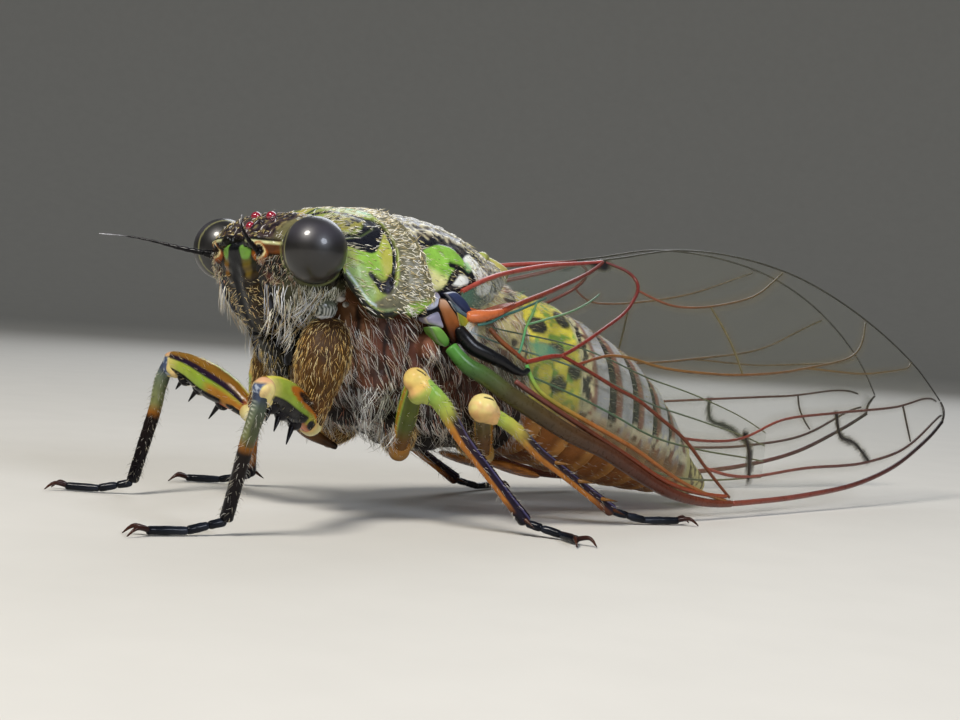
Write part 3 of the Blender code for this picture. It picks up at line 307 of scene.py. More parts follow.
def measure(name):
    """A size from the panel, in millimetres."""
    value = getattr(bpy.context.scene.cicada_sizes, name)
    return value / MM if isinstance(value, float) else Vector(value) / MM


def plain(name):
    """A count or a share from the panel."""
    return getattr(bpy.context.scene.cicada_sizes, name)


def tint(name):
    """A colour from the panel."""
    return list(getattr(bpy.context.scene.cicada_colours, name))


def between(points, place):
    """The values at place, from 0 to 1, on a smooth curve through evenly spaced rows of values."""
    last = len(points) - 1
    spot = min(max(place, 0.0), 1.0) * last
    index = min(int(spot), last - 1)
    part = spot - index
    rows = (points[max(index - 1, 0)], points[index], points[index + 1], points[min(index + 2, last)])
    values = []
    for a, b, c, d in zip(*rows):
        curve = 2 * b + (c - a) * part + (2 * a - 5 * b + 4 * c - d) * part ** 2
        values.append(0.5 * (curve + (3 * b - a - 3 * c + d) * part ** 3))
    return values


def power(value, exponent):
    """A signed power, which squares a round section off."""
    return math.copysign(abs(value) ** exponent, value)


def mirrored(point, side):
    """A left-hand place, or its mirror for side -1."""
    return Vector((point[0] * side, point[1], point[2]))


def body_shape(stations, squareness=2.3):
    """Sections across the body, upright, each with its own height above and below the widest line."""
    def shape(along, turn):
        y, top, side, bottom, half = between(stations, along)
        across = power(math.cos(turn), 2 / squareness)
        upward = power(math.sin(turn), 2 / squareness)
        height = (top - side) if upward > 0 else (side - bottom)
        return half * across, y, side + height * upward
    return shape


def limb_shape(path, radii, flatness=1.0, hint=Vector((0.0, 0.0, 1.0))):
    """Sections square to a path, with rounded ends."""
    length = sum((Vector(b) - Vector(a)).length for a, b in zip(path, path[1:]))
    start_share = max(radii[0] / length, 0.01)
    end_share = max(radii[-1] / length, 0.01)

    def shape(along, turn):
        place = (1 - math.cos(math.pi * along)) / 2
        centre = Vector(between(path, place))
        heading = Vector(between(path, place + 0.02)) - Vector(between(path, place - 0.02))
        heading.normalize()
        side = heading.cross(hint).normalized()
        upward = side.cross(heading)
        radius = between([(r,) for r in radii], place)[0]
        for share, distance in ((start_share, place), (end_share, 1 - place)):
            if distance < share:
                radius *= math.sqrt(max(1 - (1 - distance / share) ** 2, 0.0))
        return centre + side * math.cos(turn) * radius * flatness + upward * math.sin(turn) * radius
    return shape


def ball_shape(centre, radii):
    """An ellipsoid."""
    def shape(along, turn):
        tilt = math.pi * along
        ring = (math.sin(tilt) * math.cos(turn), math.sin(tilt) * math.sin(turn), math.cos(tilt))
        return Vector([c + r * size for c, r, size in zip(centre, ring, radii)])
    return shape


def front_shield_shape():
    """The front shield, whose rear rim steps forward over the back."""
    plain = body_shape(PRONOTUM, 2.4)
    angles = [angle for angle, rim in COLLAR_RIM]
    rims = [rim for angle, rim in COLLAR_RIM]
    rear = PRONOTUM[-1][0]

    def shape(along, turn):
        across, y, height = plain(along, turn)
        if y > COLLAR_START:
            climb = math.degrees(math.atan2(height - SHIELD_MIDDLE, abs(across)))
            rim = float(np.interp(climb, angles, rims))
            y = COLLAR_START + (y - COLLAR_START) * (rim - COLLAR_START) / (rear - COLLAR_START)
        return across, y, height
    return shape


def form(sides, rings, shape):
    """A closed round form as a mesh in millimetres: each vertex of a sphere goes to shape(along, turn)."""
    bm = bmesh.new()
    bmesh.ops.create_uvsphere(bm, u_segments=sides, v_segments=rings, radius=1.0)
    along_layer = bm.verts.layers.float.new("along")
    turn_layer = bm.verts.layers.float.new("turn")
    for vert in bm.verts:
        along = math.acos(min(max(vert.co.z, -1.0), 1.0)) / math.pi
        turn = math.atan2(vert.co.y, vert.co.x)
        vert[along_layer] = along
        vert[turn_layer] = turn
        vert.co = Vector(shape(along, turn))
    bm.normal_update()
    if bm.calc_volume(signed=True) < 0:
        bmesh.ops.reverse_faces(bm, faces=bm.faces)
    return to_mesh(bm)


def to_mesh(bm):
    mesh = bpy.data.meshes.new("form")
    bm.to_mesh(mesh)
    bm.free()
    return mesh


def joined(meshes):
    """Several meshes as one."""
    bm = bmesh.new()
    for mesh in meshes:
        bm.from_mesh(mesh)
        bpy.data.meshes.remove(mesh)
    return to_mesh(bm)


def evaluated(mesh, kind, settings):
    """The mesh that one modifier makes of another."""
    holder = bpy.data.objects.new("holder", mesh)
    bpy.context.scene.collection.objects.link(holder)
    modifier = holder.modifiers.new(kind.lower(), kind)
    for key, value in settings.items():
        setattr(modifier, key, value)
    depsgraph = bpy.context.evaluated_depsgraph_get()
    depsgraph.update()
    result = bpy.data.meshes.new_from_object(holder.evaluated_get(depsgraph))
    bpy.data.objects.remove(holder, do_unlink=True)
    bpy.data.meshes.remove(mesh)
    return result


def melted(meshes, size, smoothing):
    """Overlapping forms melted into one skin, by a remesh at a grain of size, then smoothed."""
    mesh = evaluated(joined(meshes), "REMESH", {"mode": "VOXEL", "voxel_size": size})
    bm = bmesh.new()
    bm.from_mesh(mesh)
    bpy.data.meshes.remove(mesh)
    for turn in range(smoothing):
        bmesh.ops.smooth_vert(bm, verts=bm.verts, factor=0.5, use_axis_x=True, use_axis_y=True, use_axis_z=True)
    return to_mesh(bm)


class Surface:
    """The places, normals and own directions of a mesh's points, in millimetres, as arrays."""

    def __init__(self, mesh):
        self.mesh = mesh
        self.spots = self.read(mesh.vertices, "co")
        self.normals = self.read(mesh.vertices, "normal")
        self.x, self.y, self.z = self.spots.T
        self.along = self.layer("along")
        self.turn = self.layer("turn")

    def read(self, rows, name):
        values = np.zeros(len(rows) * 3, np.float32)
        rows.foreach_get(name, values)
        return values.reshape(-1, 3).astype(float)

    def layer(self, name):
        values = np.zeros(len(self.mesh.vertices), np.float32)
        if name in self.mesh.attributes:
            self.mesh.attributes[name].data.foreach_get("value", values)
        return values.astype(float)

    def grain(self, size, shift=0.0):
        """Smooth noise from -1 to 1 with lumps of about size millimetres."""
        offset = Vector((shift, shift, shift))
        return np.array([noise.noise(Vector(spot) / size + offset) for spot in self.spots])

    def shield_place(self):
        """Places on a shield: y, and the arc up from its side, both in millimetres."""
        arc = np.arctan2(self.z - SHIELD_MIDDLE, np.abs(self.x))
        return self.y, arc * SHIELD_RADIUS


def shield(points):
    """Marking points given as (y in millimetres, degrees up from the side) as surface millimetres."""
    return [(y, math.radians(degrees) * SHIELD_RADIUS) for y, degrees in points]


def line_distance(u, v, points):
    """Each place's distance to a line of points."""
    nearest = np.full(len(u), 1e9)
    for (u0, v0), (u1, v1) in zip(points, points[1:]):
        du = u1 - u0
        dv = v1 - v0
        share = np.clip(((u - u0) * du + (v - v0) * dv) / max(du * du + dv * dv, 1e-12), 0.0, 1.0)
        nearest = np.minimum(nearest, np.hypot(u - u0 - share * du, v - v0 - share * dv))
    return nearest


def smoothed(points, closed=False):
    """More points on a smooth curve through a few."""
    rows = list(points) + ([points[0], points[1]] if closed else [])
    count = 6 * (len(rows) - 1)
    spots = [between(rows, step / count) for step in range(count + 1)]
    return spots[:-6] if closed else spots


def stroke(u, v, points, width, soft=0.06):
    """A mask, 1 on a smooth line of this width."""
    return np.clip((width / 2 - line_distance(u, v, smoothed(points))) / soft + 0.5, 0.0, 1.0)


def patch(u, v, points, soft=0.08):
    """A mask, 1 inside a smooth closed outline."""
    outline = smoothed(points, closed=True)
    outline.append(outline[0])
    inside = np.zeros(len(u), bool)
    for (u0, v0), (u1, v1) in zip(outline, outline[1:]):
        crosses = (v0 > v) != (v1 > v)
        height = v1 - v0 if abs(v1 - v0) > 1e-12 else 1e-12
        inside ^= crosses & (u < u0 + (u1 - u0) * (v - v0) / height)
    distance = line_distance(u, v, outline) * np.where(inside, 1.0, -1.0)
    return np.clip(distance / soft + 0.5, 0.0, 1.0)


def step_up(value, edge, soft):
    """A mask that goes from 0 to 1 where value passes the edge."""
    return np.clip((value - edge) / soft + 0.5, 0.0, 1.0)


def layered(count, base, layers):
    """A colour for each point: a base and then layers of (hex colour, mask)."""
    colours = np.tile(np.array(linear(base)), (count, 1))
    for code, mask in layers:
        colours += (np.array(linear(code)) - colours) * np.asarray(mask)[:, None]
    return colours


def ramp(share, stops):
    """A colour for each share, from stops of (share, hex colour)."""
    places = [place for place, code in stops]
    channels = np.array([linear(code) for place, code in stops])
    return np.stack([np.interp(share, places, channels[:, axis]) for axis in range(3)], axis=1)


def paint(mesh, colours, cover=None):
    """Keep a colour, and a cover from 0 to 1, on each point."""
    values = np.ones((len(mesh.vertices), 4), np.float32)
    values[:, :3] = colours
    if cover is not None:
        values[:, 3] = cover
    layer = mesh.color_attributes.new("paint", "FLOAT_COLOR", "POINT")
    layer.data.foreach_set("color", values.ravel())
    return mesh


def push(surface, depth):
    """Move each point out along its normal by its depth in millimetres."""
    surface.spots += surface.normals * np.asarray(depth)[:, None]
    surface.mesh.vertices.foreach_set("co", surface.spots.astype(np.float32).ravel())
    surface.mesh.update()


def add_piece(name, mesh, look, nodes=()):
    """Put a finished mesh, held in millimetres, into the frame as a piece."""
    mesh.transform(TO_ROW)
    mesh.name = name
    mesh.materials.clear()
    mesh.materials.append(look)
    mesh.shade_smooth()
    piece = bpy.data.objects.new(name, mesh)
    bpy.context.scene.collection.objects.link(piece)
    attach(piece, "root")
    if nodes:
        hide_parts(*nodes)
    return piece


def add_node(tree, kind, settings=None, links=None):
    """Add a shader node with its values and its links: {input: socket or value}."""
    node = tree.nodes.new(kind)
    for key, value in (settings or {}).items():
        setattr(node, key, value)
    for key, value in (links or {}).items():
        if isinstance(value, bpy.types.NodeSocket):
            tree.links.new(value, node.inputs[key])
        else:
            node.inputs[key].default_value = value
    return node


def new_look(name, values):
    """A material with its Principled shader's own sockets set."""
    look = bpy.data.materials.new(name)
    look.use_nodes = True
    shader = look.node_tree.nodes["Principled BSDF"]
    for key, value in values.items():
        shader.inputs[key].default_value = value
    return look, look.node_tree, shader


def painted_look(name, roughness, spread, bump_size, bump_depth, mottle=0.12, coat=0.0, specular=0.5):
    """A material whose colour is the points' paint, mottled, with a fine relief bump_size millimetres wide."""
    look, tree, shader = new_look(name, {"Coat Weight": coat, "Coat Roughness": 0.12, "IOR": 1.5,
                                         "Specular IOR Level": specular})
    spot = add_node(tree, "ShaderNodeTexCoord").outputs["Object"]
    colour = add_node(tree, "ShaderNodeAttribute", {"attribute_name": "paint"}).outputs["Color"]
    grain = add_node(tree, "ShaderNodeTexNoise", links={"Vector": spot, "Scale": 1 / (bump_size * MM), "Detail": 4.0})
    cloud = add_node(tree, "ShaderNodeTexNoise", links={"Vector": spot, "Scale": 0.25 / (bump_size * MM)})
    shade = add_node(tree, "ShaderNodeMapRange", links={
        "Value": cloud.outputs["Fac"], "From Min": 0.3, "From Max": 0.7, "To Min": 1 - mottle, "To Max": 1 + mottle})
    mixed = add_node(tree, "ShaderNodeVectorMath", {"operation": "SCALE"}, {0: colour, "Scale": shade.outputs["Result"]})
    tree.links.new(mixed.outputs["Vector"], shader.inputs["Base Color"])
    rough = add_node(tree, "ShaderNodeMapRange", links={
        "Value": grain.outputs["Fac"], "From Min": 0.3, "From Max": 0.7,
        "To Min": roughness - spread, "To Max": roughness + spread})
    tree.links.new(rough.outputs["Result"], shader.inputs["Roughness"])
    bump = add_node(tree, "ShaderNodeBump", links={
        "Strength": 0.6, "Distance": bump_depth * MM, "Height": grain.outputs["Fac"]})
    tree.links.new(bump.outputs["Normal"], shader.inputs["Normal"])
    return look


def look(name):
    """The named material, made on its first use."""
    if name not in bpy.data.materials:
        LOOKS[name](name)
    return bpy.data.materials[name]


def sclerite_look(name):
    """Hard waxed cuticle of the shields: a satin shell, finely pitted, with a thin gloss over it."""
    return painted_look(name, 0.34, 0.12, 0.09, 0.02, coat=0.08, specular=0.25)


def glossy_look(name):
    """Polished cuticle of the face and legs: smooth and nearly wet."""
    return painted_look(name, 0.17, 0.06, 0.12, 0.014, specular=0.15)


def soft_look(name):
    """Soft cuticle of the flanks and belly: leathery and creased under its hair."""
    return painted_look(name, 0.52, 0.12, 0.16, 0.04, mottle=0.25, specular=0.18)


def vein_look(name):
    """Wing veins: smooth tubes of thin cuticle, a little glossy."""
    return painted_look(name, 0.3, 0.05, 0.15, 0.006, mottle=0.15, specular=0.3)


def hair_look(name):
    """Hair: fine bristles of dry cuticle that catch the light."""
    made, tree, shader = new_look(name, {"Roughness": 0.38, "IOR": 1.55})
    colour = add_node(tree, "ShaderNodeAttribute", {"attribute_name": "paint"}).outputs["Color"]
    tree.links.new(colour, shader.inputs["Base Color"])
    return made


def eye_look(name):
    """Compound eye: dark brown glassy cuticle, its facets too fine to see, so they only soften the gloss."""
    made, tree, shader = new_look(name, {"Roughness": 0.42, "IOR": 1.5, "Specular IOR Level": 0.6,
                                         "Coat Weight": 0.35, "Coat Roughness": 0.06})
    spot = add_node(tree, "ShaderNodeTexCoord").outputs["Object"]
    colour = add_node(tree, "ShaderNodeAttribute", {"attribute_name": "paint"}).outputs["Color"]
    facets = add_node(tree, "ShaderNodeTexVoronoi", links={"Vector": spot, "Scale": 1 / (0.045 * MM)})
    bump = add_node(tree, "ShaderNodeBump", links={
        "Strength": 0.12, "Distance": 0.004 * MM, "Height": facets.outputs["Distance"]})
    tree.links.new(colour, shader.inputs["Base Color"])
    tree.links.new(bump.outputs["Normal"], shader.inputs["Normal"])
    return made


def ocellus_look(name):
    """Simple eye: a clear bead of cuticle over red pigment."""
    made, tree, shader = new_look(name, {
        "Base Color": (*linear("#7A0E22"), 1.0), "Roughness": 0.06, "IOR": 1.55, "Coat Weight": 1.0,
        "Subsurface Weight": 0.3, "Subsurface Scale": 0.2 * MM})
    cloud = add_node(tree, "ShaderNodeTexNoise", links={"Scale": 1 / (0.2 * MM)})
    shade = add_node(tree, "ShaderNodeValToRGB", links={"Fac": cloud.outputs["Fac"]})
    shade.color_ramp.elements[0].color = (*linear("#5A0818"), 1.0)
    shade.color_ramp.elements[1].color = (*linear("#B01E3C"), 1.0)
    tree.links.new(shade.outputs["Color"], shader.inputs["Base Color"])
    return made


def membrane_look(name):
    """Wing membrane: a clear film of cuticle, faintly smoky, with a wet gloss and fine ripples."""
    made, tree, shader = new_look(name, {"Roughness": 0.16, "IOR": 1.5, "Specular IOR Level": 0.8})
    spot = add_node(tree, "ShaderNodeTexCoord").outputs["Object"]
    layer = add_node(tree, "ShaderNodeAttribute", {"attribute_name": "paint"})
    ripples = add_node(tree, "ShaderNodeTexNoise", links={"Vector": spot, "Scale": 1 / (0.9 * MM), "Detail": 3.0})
    bump = add_node(tree, "ShaderNodeBump", links={
        "Strength": 0.35, "Distance": 0.12 * MM, "Height": ripples.outputs["Fac"]})
    tree.links.new(layer.outputs["Color"], shader.inputs["Base Color"])
    tree.links.new(layer.outputs["Alpha"], shader.inputs["Alpha"])
    tree.links.new(bump.outputs["Normal"], shader.inputs["Normal"])
    return made


def floor_look(name):
    """Studio paper: matt and pale, with a trace of tooth."""
    made, tree, shader = new_look(name, {"Roughness": 0.85, "Specular IOR Level": 0.2})
    spot = add_node(tree, "ShaderNodeTexCoord").outputs["Object"]
    tooth = add_node(tree, "ShaderNodeTexNoise", links={"Vector": spot, "Scale": 1 / (4 * MM), "Detail": 5.0})
    shade = add_node(tree, "ShaderNodeValToRGB", links={"Fac": tooth.outputs["Fac"]})
    paper = tint("paper")
    shade.color_ramp.elements[0].color = (*[0.96 * level for level in paper], 1.0)
    shade.color_ramp.elements[1].color = (*[1.04 * level for level in paper], 1.0)
    tree.links.new(shade.outputs["Color"], shader.inputs["Base Color"])
    return made


LOOKS = {"sclerite": sclerite_look, "polished_cuticle": glossy_look, "soft_cuticle": soft_look,
         "wing_vein": vein_look, "bristle": hair_look, "eye_cuticle": eye_look, "ocellus_bead": ocellus_look,
         "wing_membrane": membrane_look, "studio_paper": floor_look}


class Skins:
    """The finished skins that hair grows from: name to (spots, normals of each triangle's corners)."""
    triangles = {}


def keep_skin(name, mesh):
    """Keep a skin's triangles, in millimetres, for hair to grow from."""
    mesh.calc_loop_triangles()
    corners = np.zeros(len(mesh.loop_triangles) * 3, np.int32)
    mesh.loop_triangles.foreach_get("vertices", corners)
    spots = np.zeros(len(mesh.vertices) * 3, np.float32)
    mesh.vertices.foreach_get("co", spots)
    Skins.triangles[name] = spots.reshape(-1, 3)[corners].reshape(-1, 3, 3).astype(float)


def cranium_shape(along, turn):
    """The crown between the eyes, tilted to rise to the rear."""
    share = math.cos(math.pi * along)
    narrow = math.sqrt(max(1 - share ** 6, 0.0))
    length = CROWN_HALF.y * (1 - 0.5 * abs(share) ** 3) * narrow
    height = CROWN_HALF.z * (1 - 0.6 * share ** 2) * narrow
    forward = Vector((0.0, math.cos(HEAD_PITCH), math.sin(HEAD_PITCH)))
    upward = Vector((0.0, -math.sin(HEAD_PITCH), math.cos(HEAD_PITCH)))
    centre = CROWN_CENTRE + Vector((CROWN_HALF.x * share, 0.0, 0.0)) + upward * CROWN_RISE * share ** 2
    spot = centre + forward * length * power(math.cos(turn), 0.8)
    return spot + upward * height * power(math.sin(turn), 0.8)


def cheek_shape(along, turn):
    """The lower head beside the face, narrowing to the mouth."""
    z, front, back, half = between(CHEEKS, along)
    return half * math.cos(turn), (front + back) / 2 + (back - front) / 2 * math.sin(turn), z


def face_shape(stations, squareness=2.0):
    """Level sections of a face part, each with its front, back and half width."""
    def shape(along, turn):
        z, front, back, half = between(stations, along)
        across = half * power(math.cos(turn), 2 / squareness)
        return across, (front + back) / 2 + (back - front) / 2 * power(math.sin(turn), 2 / squareness), z
    return shape


def make_head():
    """The head capsule as one skin, with ledges over the feelers, sockets, eye seats and cheeks."""
    forms = [form(64, 48, cranium_shape), form(48, 40, cheek_shape)]
    for side in (1, -1):
        ledge = [mirrored(point, side) for point in ((0.5, -1.2, 10.42), (1.3, -1.12, 10.35), (2.1, -0.85, 10.28),
                                                    (2.75, -0.45, 10.25))]
        forms.append(form(16, 24, limb_shape(ledge, (0.24, 0.26, 0.26, 0.2), 1.2)))
        forms.append(form(24, 16, ball_shape(mirrored(SOCKET, side), (0.36, 0.4, 0.36))))
        lorum = [mirrored(point, side) for point in ((1.75, -0.05, 9.0), (1.7, 0.0, 8.5), (1.55, 0.4, 7.6),
                                                    (1.25, 0.6, 6.6), (0.95, 0.7, 5.9))]
        forms.append(form(20, 30, limb_shape(lorum, (0.3, 0.38, 0.34, 0.28, 0.2), 0.7)))
        gena = [mirrored(point, side) for point in ((2.6, 0.6, 9.3), (2.4, 0.75, 8.7), (2.2, 1.0, 8.1))]
        forms.append(form(20, 24, limb_shape(gena, (0.6, 0.55, 0.4))))
        forms.append(form(24, 16, ball_shape(mirrored((2.85, 0.4, 9.6), side), (0.8, 1.05, 1.05))))
    skin = Surface(melted(forms, 0.055, 3))
    x = np.abs(skin.x)
    groove = stroke(skin.x, skin.y, ((0.0, -0.5), (0.0, 2.0)), 0.12, 0.1) * step_up(skin.z, 10.6, 0.3)
    lumps = skin.grain(0.45) * 0.05 + skin.grain(0.16, 5.0) * 0.03
    slope = np.interp(skin.z, (5.5, 9.0), (0.75, 1.75))
    rib = step_up(-np.abs(x - slope), -0.12, 0.12) * step_up(-skin.z, -9.0, 0.3)
    crease = step_up(-np.abs(x - slope - 0.28), -0.08, 0.08) * step_up(-skin.z, -8.9, 0.3)
    push(skin, lumps - 0.06 * groove + 0.07 * rib - 0.08 * crease)
    root, lead = np.array(FEELER_LEFT[0]), np.array(FEELER_LEFT[1])
    arm = np.stack([x, skin.y, skin.z], axis=1) - root
    socket = np.linalg.norm(np.cross(arm, (lead - root) / np.linalg.norm(lead - root)), axis=1) + 9 * (skin.y > -0.9)
    eye = measure("eye_radii")
    eye_gap = np.hypot(np.hypot((x - EYE.x) / eye.x, skin.y / eye.y), (skin.z - EYE.z) / eye.z)
    top = step_up(skin.z + 0.3 * skin.y, 10.25, 0.2)
    plate = patch(x, skin.z, ((1.9, 10.35), (2.7, 10.4), (2.85, 10.0), (2.4, 9.85), (2.0, 10.0)), 0.12)
    edge_line = step_up(-np.abs(skin.z - 10.47 + 0.05 * x), -0.05, 0.05) * step_up(x, 0.9, 0.2) * (skin.y < -0.4)
    colours = layered(len(x), "#14120F", (
        (tint("crown"), 0.9 * top), ("#4A3C3A", 0.7 * top * step_up(skin.grain(0.3, 2.0), 0.05, 0.2)),
        ("#8A7E54", 0.75 * top * step_up(skin.grain(0.2, 9.0), 0.3, 0.15)),
        ("#6E6A48", 0.85 * top * step_up(x, 2.0, 0.3) * step_up(-skin.y, -0.6, 0.4)),
        ("#86A84A", 0.8 * top * step_up(skin.y, 0.7, 0.2) * step_up(x, 1.5, 0.3)),
        ("#6A3C1A", 0.85 * plate * (1 - top) * step_up(skin.z, 9.98, 0.12)),
        ("#C9CC9A", 0.9 * edge_line),
        ("#6E7448", 0.7 * step_up(-eye_gap, -1.1, 0.06)),
        ("#0E0D0E", step_up(-eye_gap, -1.04, 0.04)),
        ("#4A4A34", 0.7 * patch(x, skin.z, ((2.1, 9.0), (3.2, 9.1), (3.0, 8.3), (2.4, 7.9), (2.0, 8.3)), 0.3)),
        ("#5A3428", 0.7 * patch(x, skin.z, ((1.7, 9.35), (2.3, 9.0), (2.0, 8.85), (1.6, 9.2)), 0.12)),
        ("#9A5224", 0.8 * step_up(-socket, -0.34, 0.05)), ("#D8C890", step_up(-socket, -0.27, 0.03)),
        ("#1A1210", step_up(-socket, -0.22, 0.03)),
        # The blue-grey patches along the rib are a painted sheen: glints of the glossy ridge painted into the colour
        ("#5C6274", 0.5 * rib * step_up(skin.grain(0.5, 7.0), -0.1, 0.3)),
        # The crease beside the rib is painted darker: painted shade in the crease
        ("#0B0A0C", 0.9 * crease),
    ))
    paint(skin.mesh, colours)
    keep_skin("head", skin.mesh)
    add_piece("head_skin", skin.mesh, look("polished_cuticle"), ["head"])

    beads = [form(24, 16, ball_shape(place, [measure("ocellus_radius")] * 3)) for place in OCELLI]
    add_piece("ocelli", joined(beads), look("ocellus_bead"))


def make_face():
    """The swollen face with its cross ridges, the lower face and the beak."""
    face = Surface(form(140, 130, face_shape(POSTCLYPEUS, 2.8)))
    side = np.abs(face.x) / 1.42
    lean = face.along + 0.07 * side ** 2
    low = step_up(-face.z, -9.4, 0.5)
    ridges = np.cos(2 * np.pi * plain("face_ridges") * lean) * step_up(side, 0.3, 0.25) * np.sin(np.pi * face.along)
    middle_groove = step_up(-side, -0.16, 0.12) * low
    push(face, 0.03 * ridges * (0.4 + 0.6 * low) - 0.045 * middle_groove + 0.02 * face.grain(0.3))
    x = np.abs(face.x)
    upper = patch(x, face.z, ((0.42, 10.3), (0.9, 10.3), (1.02, 9.95), (0.85, 9.75), (0.5, 9.8)))
    drop = patch(x, face.z, ((0.5, 9.95), (0.95, 9.9), (0.95, 9.2), (0.75, 9.05), (0.6, 9.3)), 0.15)
    corner = patch(x, face.z, ((1.08, 10.2), (1.4, 10.1), (1.45, 9.75), (1.15, 9.75)))
    grooves = step_up(-ridges, 0.2, 0.5) * low
    colours = layered(len(x), tint("face"), (
        ("#22251A", 0.7 * step_up(side, 0.35, 0.2) * step_up(face.z, 8.9, 0.8)),
        # The grooves between the cross ridges are painted darker: painted shade in the creases
        ("#33240F", 0.8 * step_up(side, 0.35, 0.3) * low), ("#0D0B0A", 0.7 * grooves * step_up(side, 0.3, 0.2)),
        # The orange on the drop is painted stronger on the insect's right side (x below 0) than on its left: painted
        # light, one side lit more than the other
        ("#5E5A24", 0.75 * drop), ("#7A4C1A", np.where(face.x < 0, 0.8, 0.25) * drop * step_up(-face.z, -9.6, 0.3)),
        ("#6A9440", 0.9 * upper), ("#8A4E1C", corner),
        ("#0B0C10", step_up(-side, -0.26, 0.1)), ("#101218", step_up(face.z, 10.27, 0.06)),
        ("#0D0C0C", 0.8 * step_up(side, 0.97, 0.03)),
    ))
    paint(face.mesh, colours)
    keep_skin("face", face.mesh)
    add_piece("face_skin", face.mesh, look("polished_cuticle"), ["postclypeus"])

    lower = Surface(form(48, 40, face_shape(ANTECLYPEUS)))
    push(lower, 0.02 * lower.grain(0.25))
    paint(lower.mesh, layered(len(lower.x), "#0F0E0D", (("#2E2A16", 0.5 * step_up(lower.grain(0.4), 0.15, 0.3)),)))
    keep_skin("lower_face", lower.mesh)
    add_piece("lower_face_skin", lower.mesh, look("polished_cuticle"), ["anteclypeus"])

    beak = Surface(form(24, 60, limb_shape(BEAK_PATH, (0.34, 0.33, 0.3, 0.12))))
    push(beak, -0.05 * stroke(beak.x, beak.y, ((0.0, -1.0), (0.0, 5.0)), 0.05, 0.08))
    paint(beak.mesh, ramp(beak.along, ((0.0, "#2A2014"), (0.6, "#5A3C20"), (0.85, "#241A12"), (1.0, "#0F0D0C"))))
    add_piece("beak_skin", beak.mesh, look("polished_cuticle"), ["rostrum"])


def make_eyes():
    """Bulging compound eyes, dark brown with a pale rim at the seat and a painted sheen above the middle."""
    radii = measure("eye_radii")
    for side, name in ((1, "eye_left"), (-1, "eye_right")):
        eye = Surface(form(96, 72, ball_shape(mirrored(EYE, side), radii)))
        inward = -(eye.x * side - EYE.x) / radii.x
        seat = inward - 0.3 * (eye.y / radii.y)
        colours = layered(len(eye.x), tint("eye"), (
            # The grey-violet band above the middle of each eye is a painted sheen: a broad reflection painted into the
            # colour
            ("#34323A", 0.85 * step_up(eye.z, EYE.z + 0.35, 0.5) * step_up(-eye.z, -EYE.z - 1.0, 0.35)),
            ("#7E7C50", 0.9 * step_up(-np.abs(seat - 0.42), -0.035, 0.03)),
            ("#0C0A09", step_up(seat, 0.47, 0.04))))
        paint(eye.mesh, colours)
        add_piece(name + "_skin", eye.mesh, look("eye_cuticle"), [name])


def make_feelers():
    """Bristle feelers: two thick joints at the root, then a thread that tapers to a pale tip."""
    for path, name in ((FEELER_LEFT, "antenna_left"), (FEELER_RIGHT, "antenna_right")):
        whole = [Vector(point) for point in path]
        root = [whole[0].lerp(whole[1], share) for share in (0.0, 0.35, 0.7, 1.05)]
        scape = form(24, 24, limb_shape(root, (0.2, 0.19, 0.16, 0.12)))
        thread = form(12, 90, limb_shape(whole[1:], [measure("feeler_radius") * share for share in (1.0, 0.77, 0.45, 0.27, 0.11)]))
        for mesh, stops in ((scape, ((0.0, "#2A2018"), (0.4, "#0D0C0E"), (1.0, "#0D0C0E"))),
                            (thread, ((0.0, "#0D0C0E"), (0.75, "#17161A"), (0.88, "#9A9AA0"), (1.0, "#D6D6DA")))):
            surface = Surface(mesh)
            push(surface, 0.006 * np.cos(2 * np.pi * 14 * surface.along))
            paint(mesh, ramp((1 - np.cos(np.pi * surface.along)) / 2, stops))
        add_piece(name + "_skin", joined([scape, thread]), look("polished_cuticle"), [name])


